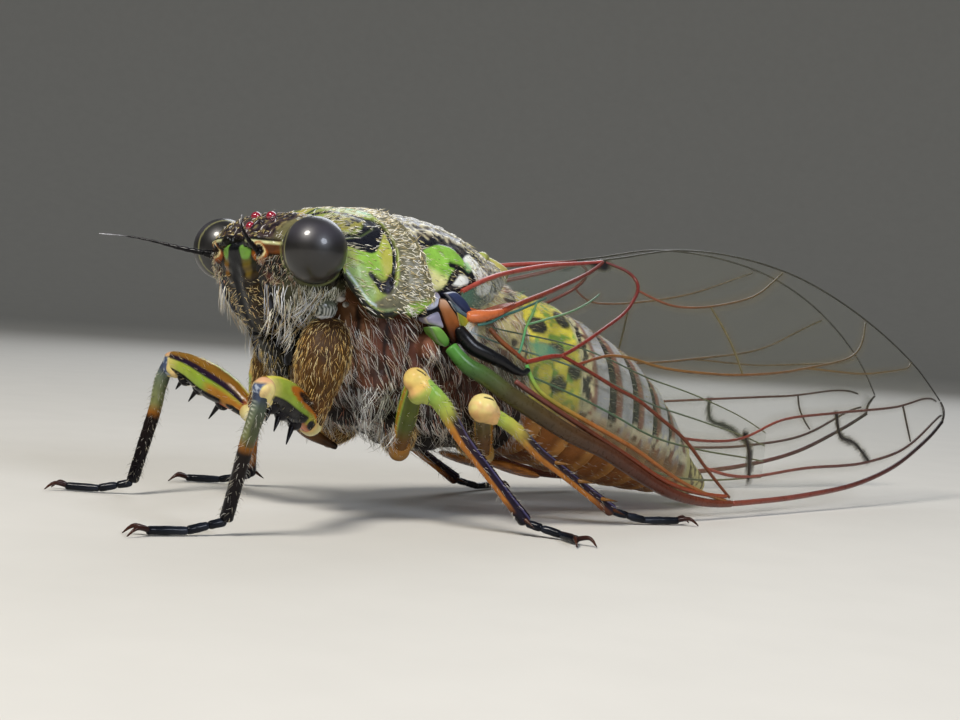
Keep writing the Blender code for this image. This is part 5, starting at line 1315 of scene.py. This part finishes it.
def make_leg(key):
    """One leg as a jointed skin: hip, thigh, knee, shin, three-jointed foot, claws and spines."""
    kind, hand = key.split("_")
    hip, trochanter, knee, ankle, mid_foot, toe = [Vector(point) for point in LEGS[key]]
    outward = 1 if hip.x > 0 else -1
    heading = (knee - trochanter).normalized()
    shin = (ankle - knee).normalized()
    meshes = []

    bow = Vector(COXA_BOW.get(key, (0.0, 0.0, 0.0)))
    coxa_path = []
    for share in (0.0, 0.25, 0.5, 0.75, 1.05):
        coxa_path.append(hip.lerp(trochanter, share) + bow * math.sin(math.pi * min(share, 1.0)))
    coxa, colours, share = leg_part(coxa_path, COXA_RADII[kind], (
        (0.0, "#33200F"), (0.35, "#40290F"), (0.7, "#563812"), (0.9, "#4A2A14"), (1.0, "#241510")), 1.0, 48, 64)
    push(coxa, 0.05 * coxa.grain(0.5, 2.0) + 0.02 * coxa.grain(0.15))
    shadow = step_up(coxa.grain(0.55, 4.0), 0.15, 0.3)[:, None]
    colours += (np.array(linear("#2E1E12")) - colours) * 0.6 * shadow
    keep_skin(key + "_coxa", coxa.mesh)
    paint(coxa.mesh, colours)
    add_piece(key + "_hip", coxa.mesh, look("soft_cuticle"), [key + "_coxa"])
    collar, colours, share = leg_part([trochanter - heading * 0.35, trochanter, trochanter + heading * 0.35,
                                       trochanter + heading * 0.6], (0.36, 0.42, 0.4, 0.34),
                                      COLLAR_STOPS[kind])
    meshes.append(paint(collar.mesh, colours))

    path = [trochanter.lerp(knee, share) for share in (0.0, 0.25, 0.5, 0.75, 1.02)]
    for place in (1, 2, 3):
        path[place] = path[place] + Vector((0.0, 0.0, FEMUR_ARCH[kind]))
    femur, colours, share = leg_part(path, FEMUR_RADII[kind], LEG_COLOURS[kind + "_femur"], 0.8, 48, 96)
    height = np.sin(femur.turn)
    if kind == "fore":
        oval = np.hypot((height - 0.34) / 0.5, (share - 0.36) / 0.34)
        foot_oval = np.hypot((height + 0.62) / 0.3, (share - 0.12) / 0.1)
        rear = step_up(femur.normals[:, 1], 0.0, 0.2)
        marks = (("#D8CF52", 0.8 * step_up(height, 0.84, 0.08) * step_up(share, 0.5, 0.2)),
                 ("#B05E1A", 0.95 * rear * step_up(-oval, -1.0, 0.12)), ("#1A0E0E", rear * step_up(-oval, -0.62, 0.1)),
                 ("#7A4A1A", 0.9 * (1 - rear) * step_up(height, 0.62, 0.1)),
                 ("#A8621E", 0.8 * (1 - rear) * step_up(-height, -0.12, 0.15) * step_up(-share, -0.45, 0.1)),
                 ("#221628", (1 - rear) * step_up(-np.abs(height - 0.44 - 0.1 * share), -0.17, 0.06)),
                 ("#0C0B0E", step_up(-height, 0.42, 0.08) * step_up(share, 0.27, 0.05) * step_up(-share, -0.9, 0.05)),
                 ("#A8522C", 0.85 * step_up(-share, -0.1, 0.04)), ("#B0522C", 0.8 * step_up(-height, 0.8, 0.08) * step_up(-share, -0.3, 0.06)),
                 ("#0C0B0E", step_up(-foot_oval, -1.0, 0.15)))
    else:
        side_lean = height + 0.4 * np.cos(femur.turn) * outward
        marks = (("#B0701E", 0.8 * step_up(-np.abs(height + 0.3), -0.22, 0.14)),
                 ("#C07A22", 0.7 * step_up(height, 0.86, 0.08)), ("#2E1812", 0.8 * step_up(-height, 0.62, 0.12)),
                 ("#B86E20", 0.8 * step_up(-share, -0.3, 0.15) * step_up(side_lean, 0.1, 0.3)),
                 ("#0E0D10", step_up(-np.hypot((share - 0.16) / 0.07, (height - 0.1) / 0.35), -1.0, 0.2)))
    for code, mask in marks:
        colours += (np.array(linear(code)) - colours) * mask[:, None]
    keep_skin(key + "_femur", femur.mesh)
    meshes.append(paint(femur.mesh, colours))
    if kind == "fore":
        down = (heading.cross(Vector((0, 0, 1))).cross(heading)).normalized() * -1
        for place, reach in FEMUR_SPINES:
            root = trochanter.lerp(knee, place) + down * 0.3
            tip = root + (down + heading * 0.35) * (0.75 * reach + 0.2)
            meshes.append(spine(root, tip, 0.13, ("#141014", "#0A090C")))
            bump, tones, share = leg_part([root - heading * 0.4, root - heading * 0.1 + down * 0.05, root + heading * 0.3],
                                          (0.16, 0.26, 0.14), ((0.0, "#0C0B0E"), (1.0, "#141218")), 1.0, 20, 20)
            meshes.append(paint(bump.mesh, tones))
    meshes.append(make_knee(kind, knee, heading, shin, outward))

    path = [knee.lerp(ankle, share) for share in (0.0, 0.2, 0.4, 0.6, 0.8, 1.0)]
    path[1] = path[1] + Vector((0.15 * outward, 0.0, 0.12))
    tibia, colours, share = leg_part(path, TIBIA_RADII[kind], LEG_COLOURS[kind + "_tibia"], 0.9, 40, 140)
    height = np.sin(tibia.turn)
    if kind == "fore":
        rings = step_up(np.cos(2 * np.pi * 34 * share), 0.2, 0.5) * step_up(share, 0.12, 0.04) * step_up(-share, -0.36, 0.04)
        rings *= step_up(tibia.normals[:, 0] * outward, 0.0, 0.3)
        marks = (("#D8DCC8", 0.7 * rings * step_up(height, -0.2, 0.5)), ("#2A3028", 0.6 * step_up(-height, 0.6, 0.2) * (share < 0.42)))
    else:
        dark = step_up(height, -0.45, 0.2) * step_up(share, 0.27, 0.08)
        marks = (("#B8742E", 0.9 * step_up(-height, 0.35, 0.2) * step_up(share, 0.3, 0.1) * step_up(-share, -0.86, 0.08)),
                 # The thin lavender streak along the dark part of the shin is a painted highlight
                 ("#1C1624", 0.97 * dark), ("#6A6690", 0.55 * step_up(-np.abs(height - 0.55), -0.09, 0.08) * dark))
    for code, mask in marks:
        colours += (np.array(linear(code)) - colours) * mask[:, None]
    keep_skin(key + "_tibia", tibia.mesh)
    meshes.append(paint(tibia.mesh, colours))
    across = shin.cross(Vector((0, 0, 1))).normalized()
    if kind != "fore":
        for turn in (-1, 1):
            root = ankle - shin * 0.3 + across * turn * 0.1
            tip = ankle + shin * 0.15 + across * turn * 0.6
            tip.z = max(tip.z, 0.15)
            meshes.append(spine(root, tip, 0.09, ("#5A3420", "#141014")))
    if kind == "hind":
        for place in (0.5, 0.68, 0.86):
            root = knee.lerp(ankle, place)
            tip = root + Vector((outward * 0.75, 0.25, 0.1)) + shin * 0.3
            meshes.append(spine(root, tip, 0.1, ("#9A6A34", "#1A1512")))

    stride = (toe - mid_foot).normalized()
    across = stride.cross(Vector((0, 0, 1))).normalized()
    start = ankle.copy()
    joints = (start, start.lerp(mid_foot, 0.45), mid_foot, toe)
    foot_radius, claw_length = measure("foot_radius"), measure("claw_length")
    for first, last in zip(joints, joints[1:]):
        points = [first.lerp(last, share) for share in (-0.05, 0.3, 0.65, 1.03)]
        for point in points:
            point.z = max(point.z, foot_radius)
        foot, colours, share = leg_part(points, [foot_radius * share for share in (0.85, 1.0, 1.0, 0.95)], (
            (0.0, "#20242E"), (0.6, "#12151C"), (1.0, "#0B0C12")), 1.0, 20, 32)
        meshes.append(paint(foot.mesh, colours))
    for turn in (-1, 1):
        bow = toe + stride * claw_length * 0.5 + across * turn * 0.3 + Vector((0, 0, 0.12))
        tip = toe + stride * claw_length + across * turn * 0.42
        tip.z = 0.05
        claw = Surface(form(10, 24, limb_shape([toe - stride * 0.1, bow, tip], (0.1, 0.08, 0.02))))
        meshes.append(paint(claw.mesh, ramp(claw.along, ((0.0, "#15121A"), (0.7, "#3E2218"), (1.0, "#1E1210")))))
    mesh = joined(meshes)
    for vert in mesh.vertices:
        vert.co.z = max(vert.co.z, 0.004)
    nodes = [key + "_" + part for part in ("femur", "tibia", "tarsus")]
    add_piece(key + "_leg", mesh, look("polished_cuticle"), nodes)


def roots_on(skin, count, density, seed):
    """Random places on a skin, at least as dense as asked where density is 1: spots and normals."""
    generator = np.random.default_rng(seed)
    count = int(count * plain("hair_amount"))
    corners = Skins.triangles[skin]
    edges = np.cross(corners[:, 1] - corners[:, 0], corners[:, 2] - corners[:, 0])
    area = np.linalg.norm(edges, axis=1) / 2
    middles = corners.mean(axis=1)
    normals = edges / np.maximum(np.linalg.norm(edges, axis=1), 1e-12)[:, None]
    weight = area * density(middles, normals)
    picks = generator.choice(len(corners), size=count, p=weight / weight.sum())
    a, b = generator.random(count), generator.random(count)
    flip = a + b > 1
    a[flip], b[flip] = 1 - a[flip], 1 - b[flip]
    chosen = corners[picks]
    spots = chosen[:, 0] + a[:, None] * (chosen[:, 1] - chosen[:, 0]) + b[:, None] * (chosen[:, 2] - chosen[:, 0])
    return spots, normals[picks]


def hair_template(rings):
    """One hair as a three-sided cone with a few rings: its places (share, sideways) and its faces."""
    bm = bmesh.new()
    bmesh.ops.create_cone(bm, cap_ends=True, segments=3, radius1=1.0, radius2=0.12, depth=1.0)
    bmesh.ops.translate(bm, verts=bm.verts, vec=Vector((0, 0, 0.5)))
    for ring in range(1, rings):
        bmesh.ops.bisect_plane(bm, geom=bm.verts[:] + bm.edges[:] + bm.faces[:], plane_co=(0, 0, ring / rings),
                               plane_no=(0, 0, 1))
    bmesh.ops.triangulate(bm, faces=bm.faces)
    bm.verts.index_update()
    spots = np.array([vert.co for vert in bm.verts])
    faces = np.array([[vert.index for vert in face.verts] for face in bm.faces])
    bm.free()
    return spots, faces


def unit(vectors):
    return vectors / np.maximum(np.linalg.norm(vectors, axis=1), 1e-9)[:, None]


def noise_at(spots, size, sharpness=2.0):
    """Cloudy values from 0 to 1 over places, for hair that grows in drifts."""
    values = np.array([noise.noise(Vector(spot) / size) for spot in spots])
    return np.clip(0.5 + sharpness * 0.5 * values, 0.0, 1.0)


def make_hair(name, roots, normals, lie, length, radius, codes, stand=0.5, bend=0.4, rings=3, seed=1,
              clump=0, ragged=0.22):
    """Hairs as one mesh: each leans from its normal to the lie, bends along it and tapers to its tip."""
    generator = np.random.default_rng(seed)
    count = len(roots)
    template, faces = hair_template(rings)
    spread = generator.normal(0.0, ragged, (count, 3))
    flow = unit(lie(roots) + spread)
    flow = unit(flow - normals * (flow * normals).sum(1)[:, None])
    start = unit(flow * (1 - stand) + normals * stand + 0.5 * spread * stand)
    sideways = unit(np.cross(start, flow + 0.01))
    across = unit(np.cross(start, sideways))
    sizes = (length * plain("hair_length") * generator.uniform(0.6, 1.25, count))[:, None]
    drift = np.zeros((count, 3))
    if clump:
        tips = roots + start * sizes + (flow - start) * bend * sizes
        guides = tips[::clump]
        nearest = ((roots[:, None, :] - roots[::clump][None, :, :]) ** 2).sum(2).argmin(1)
        drift = 0.65 * (guides[nearest] - tips)
    share = template[:, 2][None, :, None]
    centre = roots[:, None, :] - min(0.04, 0.04 * length) * normals[:, None, :]
    centre = centre + start[:, None, :] * share * sizes[:, None, :]
    centre = centre + ((flow - start) * bend * sizes + drift)[:, None, :] * share ** 2
    ring = sideways[:, None, :] * template[:, 0][None, :, None] + across[:, None, :] * template[:, 1][None, :, None]
    spots = centre + ring * radius
    mesh = bpy.data.meshes.new(name)
    corners = (faces[None, :, :] + (np.arange(count) * len(template))[:, None, None]).reshape(-1, 3)
    mesh.vertices.add(count * len(template))
    mesh.vertices.foreach_set("co", spots.astype(np.float32).ravel())
    mesh.loops.add(len(corners) * 3)
    mesh.loops.foreach_set("vertex_index", corners.astype(np.int32).ravel())
    mesh.polygons.add(len(corners))
    mesh.polygons.foreach_set("loop_start", np.arange(0, len(corners) * 3, 3, dtype=np.int32))
    mesh.update(calc_edges=True)
    palette = np.array([linear(code) for code in codes])
    tone = palette[generator.integers(0, len(codes), count)] * generator.uniform(0.75, 1.15, (count, 1))
    paint(mesh, np.repeat(tone, len(template), axis=0))

    # The bake map: each hair is a small patch at its root's place, round the body and along it
    turn = np.arctan2(roots[:, 0], roots[:, 2] - 6.0) / (2 * math.pi) + 0.5
    along = (roots[:, 1] + 8.0) / 36.0
    place = np.stack([turn, np.clip(along, 0.0, 1.0)], axis=1) * 0.99 + 0.003
    patch_spots = template[:, :2] * 0.0008 + template[:, 2:3] * np.array([[0.0, 0.0022]])
    maps = (place[:, None, :] + patch_spots[None, :, :]).reshape(-1, 2)
    layer = mesh.uv_layers.new(name="OFBake")
    layer.uv.foreach_set("vector", maps[corners.ravel()].astype(np.float32).ravel())
    add_piece(name, mesh, look("bristle"))


def field(scale, *parts):
    """A lie of the hair: a direction, turned outward by scale away from the middle plane."""
    direction = np.array(parts)

    def lie(roots):
        side = np.sign(roots[:, 0:1])
        return direction[None, :] + side * np.array([[scale, 0.0, 0.0]])
    return lie


def make_coat():
    """Silver and gold hair on the head, shields, flanks, belly and legs."""
    down = field(0.25, 0.0, -0.2, -1.0)
    back = field(0.1, 0.0, 1.0, -0.25)
    silver, gold, cream = tint("silver"), tint("gold"), tint("cream")
    bright = ("#E4E8F2", "#F4F2EC", "#F4EED8", "#B8A070")

    # The head: gold flecks on the crown, a brush under the feeler, grey pile under the eye
    def crown(spots, normals):
        return step_up(spots[:, 2] + 0.3 * spots[:, 1], 10.2, 0.3) * (0.3 + noise_at(spots, 0.5, 3.0))
    roots, normals = roots_on("head", 700, crown, 12)
    make_hair("crown_hair", roots, normals, back, 0.18, 0.02, ("#E0C880", "#D8D4D4", "#F0ECE8", "#8A7440"),
              stand=0.35, bend=0.5, rings=2, seed=22, ragged=0.5)

    def plate(spots, normals):
        x, z = np.abs(spots[:, 0]), spots[:, 2]
        return (x > 1.45) * (x < 3.0) * (z < 10.0) * (z > 8.85) * (spots[:, 1] < 0.9)
    roots, normals = roots_on("head", 420, plate, 31)
    make_hair("temple_hair", roots, normals, field(-0.2, 0.0, -0.3, -1.0), 0.24, 0.012,
              (silver, "#D8CFA8", "#8C8468", "#C49A80"), stand=0.5, bend=0.5, rings=2, seed=41, ragged=0.5)

    def brush(spots, normals):
        x, z = np.abs(spots[:, 0]), spots[:, 2]
        return (x > 1.25) * (z < 9.0) * (z > 6.9) * (spots[:, 1] < 1.0) * (normals[:, 1] < 0.4) * (0.25 + noise_at(spots, 0.5))
    roots, normals = roots_on("head", 400, brush, 11)
    make_hair("cheek_hair", roots, normals, field(0.02, 0.0, -0.15, -1.0), 1.1, 0.017, bright, stand=0.25, bend=0.6,
              seed=21, clump=12)

    def gena(spots, normals):
        x, z = np.abs(spots[:, 0]), spots[:, 2]
        return (x > 2.2) * (z < 8.95) * (z > 7.3) * (spots[:, 1] > -0.4)
    roots, normals = roots_on("head", 1100, gena, 32)
    make_hair("gena_hair", roots, normals, field(-0.1, 0.0, 0.1, -1.0), 0.36, 0.013,
              ("#C8C8B4", "#E4E2D0", "#7E7C62", "#F0EEE2"), stand=0.3, bend=0.5, rings=2, seed=42, clump=5)

    def low_face(spots, normals):
        return (normals[:, 1] < 0.4) * step_up(-spots[:, 2], -9.0, 0.7) * (0.15 + np.abs(spots[:, 0]))
    roots, normals = roots_on("face", 320, low_face, 13)
    make_hair("face_hair", roots, normals, field(1.0, 0.0, 0.0, -0.35), 0.3, 0.014,
              ("#E0C88A", "#D8B47A", "#F0DCA8", "#8A7A58"), stand=0.35, bend=0.6, seed=23, ragged=0.4)
    roots, normals = roots_on("lower_face", 260, lambda s, n: np.ones(len(s)), 14)
    make_hair("lower_face_hair", roots, normals, down, 0.5, 0.01, (silver, gold), stand=0.4, seed=24)

    # The front shield: gold and silver flecks, thick on the collar and thin over the green
    def shield_density(spots, normals):
        upper = step_up(spots[:, 2], 7.7, 0.2) * (spots[:, 1] > 1.1)
        collar = step_up(spots[:, 1], 3.3, 0.3)
        outer = spots[:, 0] * normals[:, 0] + (spots[:, 2] - SHIELD_MIDDLE) * normals[:, 2] > 0.5
        return upper * outer * (0.16 + 1.0 * collar)
    roots, normals = roots_on("front_shield", 1900, shield_density, 15)
    make_hair("front_shield_pile", roots, normals, back, 0.24, 0.029,
              ("#F4F0E2", "#EFE6C4", "#B8A87A", "#F0EEE6"), stand=0.25, bend=0.5, rings=2, seed=25, ragged=0.35)

    def front_edge(spots, normals):
        return (spots[:, 1] < 1.7) * (spots[:, 2] > 7.7) * (np.abs(spots[:, 0]) > 1.6) * (normals[:, 1] < 0.9)
    roots, normals = roots_on("front_shield", 520, front_edge, 16)
    make_hair("front_shield_fringe", roots, normals, field(0.25, 0.0, 1.0, 0.0), 0.6, 0.013,
              ("#E6E2D0", "#D8D2B8", "#A8A284"), stand=0.3, seed=26)

    # The middle shield: a sparse cream pile, thick on its flank and rear
    def middle_density(spots, normals):
        upper = step_up(spots[:, 2], 8.5, 0.3)
        arc = np.degrees(np.arctan2(spots[:, 2] - SHIELD_MIDDLE, np.abs(spots[:, 0])))
        return upper * (0.1 + 0.7 * step_up(-np.abs(arc - 22.0), -12.0, 6.0) + step_up(spots[:, 1], 7.4, 0.4))
    roots, normals = roots_on("middle_shield", 2600, middle_density, 17)
    make_hair("middle_shield_pile", roots, normals, back, 0.24, 0.02,
              ("#F2ECD2", cream, silver, "#8A7A5A"), stand=0.15, bend=0.5, rings=2, seed=27)

    # The flanks: silver and red-brown tufts, and a white fan behind the fore hip
    def flank(spots, normals):
        return (np.abs(normals[:, 0]) > 0.15) * (spots[:, 2] > 3.6) * (0.15 + noise_at(spots, 0.7, 3.0))
    roots, normals = roots_on("thorax", 4600, flank, 18)
    make_hair("flank_hair", roots, normals, field(0.2, 0.0, 0.3, -1.0), 0.7, 0.016,
              ("#F2ECE4", "#E4D2B8", "#B0745A", "#F6F2EC"), stand=0.35, bend=0.6, seed=28, clump=8)

    def fan(spots, normals):
        return (np.abs(spots[:, 0]) > 1.9) * (spots[:, 2] < 5.4) * (spots[:, 1] > 2.2) * (spots[:, 1] < 5.2) * (normals[:, 2] < 0.3)
    roots, normals = roots_on("thorax", 440, fan, 33)
    make_hair("chest_fan", roots, normals, field(0.35, 0.0, -0.35, -1.0), 1.15, 0.019,
              ("#FAFAF6", "#D6D4CC", "#6E6A66"), stand=0.4, bend=0.5, seed=43, clump=12)
    roots, normals = roots_on("thorax", 1300, lambda s, n: 1.0 * (n[:, 2] < -0.1), 19)
    make_hair("chest_hair", roots, normals, field(0.4, 0.0, 0.2, -0.8), 1.0, 0.013,
              (silver, "#C9C4B6", "#8A8070"), stand=0.5, bend=0.5, seed=29, clump=7)
    roots, normals = roots_on("abdomen", 5200, lambda s, n: 0.4 + (n[:, 2] > -0.2), 20)
    make_hair("abdomen_hair", roots, normals, back, 0.28, 0.01, (silver, cream, "#A8987A"), stand=0.2,
              bend=0.4, rings=2, seed=30)

    for index, key in enumerate(LEGS):
        hip, trochanter, knee, ankle, mid_foot, toe = [Vector(point) for point in LEGS[key]]
        hairs = 1500 if key.startswith("fore") else 700
        for part, count, size, radius, codes, stand, run in (
                ("coxa", hairs, 0.34, 0.013, ("#E0BC70", "#B88E44", "#F0DCA4", "#6A4A26"), 0.2, trochanter - hip),
                ("femur", 110, 0.26, 0.009, (silver, "#D8C89A"), 0.5, knee - trochanter),
                ("tibia", 260, 0.3, 0.009, ("#D8D4C8", "#B4AC98", "#4A4540"), 0.7, ankle - knee)):
            roots, normals = roots_on(key + "_" + part, count, lambda s, n: 1.0 * (s[:, 2] > 0.6), 40 + index)
            make_hair(key + "_" + part + "_hair", roots, normals, field(0.0, *run.normalized()),
                      size, radius, codes, stand=stand, bend=0.3, seed=60 + index, ragged=0.3)


def make_stage():
    """A pale paper dish, soft lamps and the camera."""
    bm = bmesh.new()
    profile = [bm.verts.new(Vector((x, 0.0, z)) * MM) for x, z in ((0, 0), (200, 0), (420, 0))]
    for step in range(1, 13):
        turn = math.radians(90) * step / 12
        profile.append(bm.verts.new(Vector((420 + 260 * math.sin(turn), 0.0, 260 * (1 - math.cos(turn)))) * MM))
    edges = [bm.edges.new(pair) for pair in zip(profile, profile[1:])]
    bmesh.ops.spin(bm, geom=profile + edges, cent=(0, 0, 0), axis=(0, 0, 1), angle=math.tau, steps=96, use_merge=True)
    bmesh.ops.remove_doubles(bm, verts=bm.verts, dist=1e-6)
    bmesh.ops.recalc_face_normals(bm, faces=bm.faces)
    mesh = to_mesh(bm)
    mesh.materials.append(look("studio_paper"))
    mesh.shade_smooth()
    floor = bpy.data.objects.new("floor", mesh)
    bpy.context.scene.collection.objects.link(floor)

    world = bpy.data.worlds.new("studio")
    world.use_nodes = True
    world.node_tree.nodes["Background"].inputs["Color"].default_value = (*linear("#DDE2E6"), 1.0)
    bpy.context.scene.world = world
    bpy.context.scene.view_settings.view_transform = "Standard"
    settings = bpy.context.scene.cicada_stage
    world.node_tree.nodes["Background"].inputs["Strength"].default_value = settings.sky
    target = TO_ROW @ Vector((0.0, 9.0, 6.0))
    for name, place, size, power_watts, code in (
            ("key", (50, -120, 170), 60, settings.key_power, "#FFF9F0"), ("fill", (165, 15, 90), 60, settings.fill_power, "#EAF1FF"),
            ("rim", (-120, 130, 120), 120, settings.rim_power, "#F4F8FF")):
        lamp = bpy.data.lights.new(name, "AREA")
        lamp.shape = "DISK"
        lamp.size = size * MM
        lamp.energy = power_watts
        lamp.color = linear(code)
        holder = bpy.data.objects.new(name, lamp)
        holder.location = TO_ROW @ Vector(place)
        holder.rotation_euler = (target - holder.location).to_track_quat("-Z", "Y").to_euler()
        bpy.context.scene.collection.objects.link(holder)

    lens = bpy.data.cameras.new("camera")
    lens.lens = settings.lens
    lens.sensor_width = 36.0
    lens.clip_start = 0.001
    lens.clip_end = 10.0
    camera = bpy.data.objects.new("camera", lens)
    back = Vector((math.sin(CAMERA_TURN) * math.cos(CAMERA_TILT), -math.cos(CAMERA_TURN) * math.cos(CAMERA_TILT),
                   math.sin(CAMERA_TILT)))
    right = (-back).cross(Vector((0, 0, 1))).normalized()
    upward = right.cross(-back)
    rolled_right = right * math.cos(CAMERA_ROLL) + upward * math.sin(CAMERA_ROLL)
    rolled_up = upward * math.cos(CAMERA_ROLL) - right * math.sin(CAMERA_ROLL)
    axes = Matrix((rolled_right, rolled_up, back)).transposed().to_4x4()
    camera.matrix_world = Matrix.Translation(TO_ROW @ Vector(CAMERA_PLACE)) @ axes
    bpy.context.scene.collection.objects.link(camera)
    bpy.context.scene.camera = camera


class CICADA_OT_stage(bpy.types.Operator):
    """Make the floor, the lamps and the camera"""
    bl_idname = "cicada.stage"
    bl_label = "Stage"

    def execute(self, context):
        make_stage()
        return {"FINISHED"}


class CICADA_OT_head(bpy.types.Operator):
    """Make the head skin and the simple eyes"""
    bl_idname = "cicada.head"
    bl_label = "Head"

    def execute(self, context):
        make_head()
        return {"FINISHED"}


class CICADA_OT_face(bpy.types.Operator):
    """Make the face, the lower face and the beak"""
    bl_idname = "cicada.face"
    bl_label = "Face"

    def execute(self, context):
        make_face()
        return {"FINISHED"}


class CICADA_OT_eyes(bpy.types.Operator):
    """Make the compound eyes"""
    bl_idname = "cicada.eyes"
    bl_label = "Eyes"

    def execute(self, context):
        make_eyes()
        return {"FINISHED"}


class CICADA_OT_feelers(bpy.types.Operator):
    """Make the feelers"""
    bl_idname = "cicada.feelers"
    bl_label = "Feelers"

    def execute(self, context):
        make_feelers()
        return {"FINISHED"}


class CICADA_OT_front_shield(bpy.types.Operator):
    """Make the front shield"""
    bl_idname = "cicada.front_shield"
    bl_label = "Front shield"

    def execute(self, context):
        make_front_shield()
        return {"FINISHED"}


class CICADA_OT_middle_shield(bpy.types.Operator):
    """Make the middle shield and its raised cross"""
    bl_idname = "cicada.middle_shield"
    bl_label = "Middle shield"

    def execute(self, context):
        make_middle_shield()
        return {"FINISHED"}


class CICADA_OT_thorax(bpy.types.Operator):
    """Make the flanks, the chest and the neck lobes"""
    bl_idname = "cicada.thorax"
    bl_label = "Flanks"

    def execute(self, context):
        make_thorax()
        return {"FINISHED"}


class CICADA_OT_abdomen(bpy.types.Operator):
    """Make the abdomen and the plates under it"""
    bl_idname = "cicada.abdomen"
    bl_label = "Abdomen"

    def execute(self, context):
        make_abdomen()
        return {"FINISHED"}


class CICADA_OT_forewings(bpy.types.Operator):
    """Make the forewings and their veins"""
    bl_idname = "cicada.forewings"
    bl_label = "Forewings"

    def execute(self, context):
        make_forewings()
        return {"FINISHED"}


class CICADA_OT_hindwings(bpy.types.Operator):
    """Make the hindwings and their veins"""
    bl_idname = "cicada.hindwings"
    bl_label = "Hindwings"

    def execute(self, context):
        make_hindwings()
        return {"FINISHED"}


class CICADA_OT_wing_roots(bpy.types.Operator):
    """Make the plates at the wing roots"""
    bl_idname = "cicada.wing_roots"
    bl_label = "Wing roots"

    def execute(self, context):
        make_wing_roots()
        return {"FINISHED"}


class CICADA_OT_legs(bpy.types.Operator):
    """Make the six legs"""
    bl_idname = "cicada.legs"
    bl_label = "Legs"

    def execute(self, context):
        for key in LEGS:
            make_leg(key)
        return {"FINISHED"}


class CICADA_OT_coat(bpy.types.Operator):
    """Make the hair; it grows from the skins, so it comes last"""
    bl_idname = "cicada.coat"
    bl_label = "Hair"

    def execute(self, context):
        make_coat()
        return {"FINISHED"}


OPERATORS = (CICADA_OT_stage, CICADA_OT_head, CICADA_OT_face, CICADA_OT_eyes, CICADA_OT_feelers, CICADA_OT_front_shield, CICADA_OT_middle_shield, CICADA_OT_thorax, CICADA_OT_abdomen, CICADA_OT_forewings, CICADA_OT_hindwings, CICADA_OT_wing_roots, CICADA_OT_legs, CICADA_OT_coat)
SETTINGS = (("cicada_sizes", CicadaSizes), ("cicada_colours", CicadaColours), ("cicada_stage", CicadaStage))


class CICADA_PT_panel(bpy.types.Panel):
    """Lists the pieces of the cicada."""
    bl_idname = "CICADA_PT_panel"
    bl_label = "Cicada"
    bl_space_type = "VIEW_3D"
    bl_region_type = "UI"
    bl_category = "Cicada"

    def draw(self, context):
        for name, group in SETTINGS:
            box = self.layout.box()
            for key in group.__annotations__:
                box.prop(getattr(context.scene, name), key)
        for made in OPERATORS:
            self.layout.operator(made.bl_idname)


def register():
    for name, group in SETTINGS:
        bpy.utils.register_class(group)
        setattr(bpy.types.Scene, name, bpy.props.PointerProperty(type=group))
    for made in OPERATORS:
        bpy.utils.register_class(made)
    bpy.utils.register_class(CICADA_PT_panel)


def unregister():
    bpy.utils.unregister_class(CICADA_PT_panel)
    for made in reversed(OPERATORS):
        bpy.utils.unregister_class(made)
    for name, group in reversed(SETTINGS):
        delattr(bpy.types.Scene, name)
        bpy.utils.unregister_class(group)


def main():
    register()
    for made in OPERATORS:
        getattr(bpy.ops.cicada, made.bl_idname.split(".")[1])()


if __name__ == "__main__":
    main()
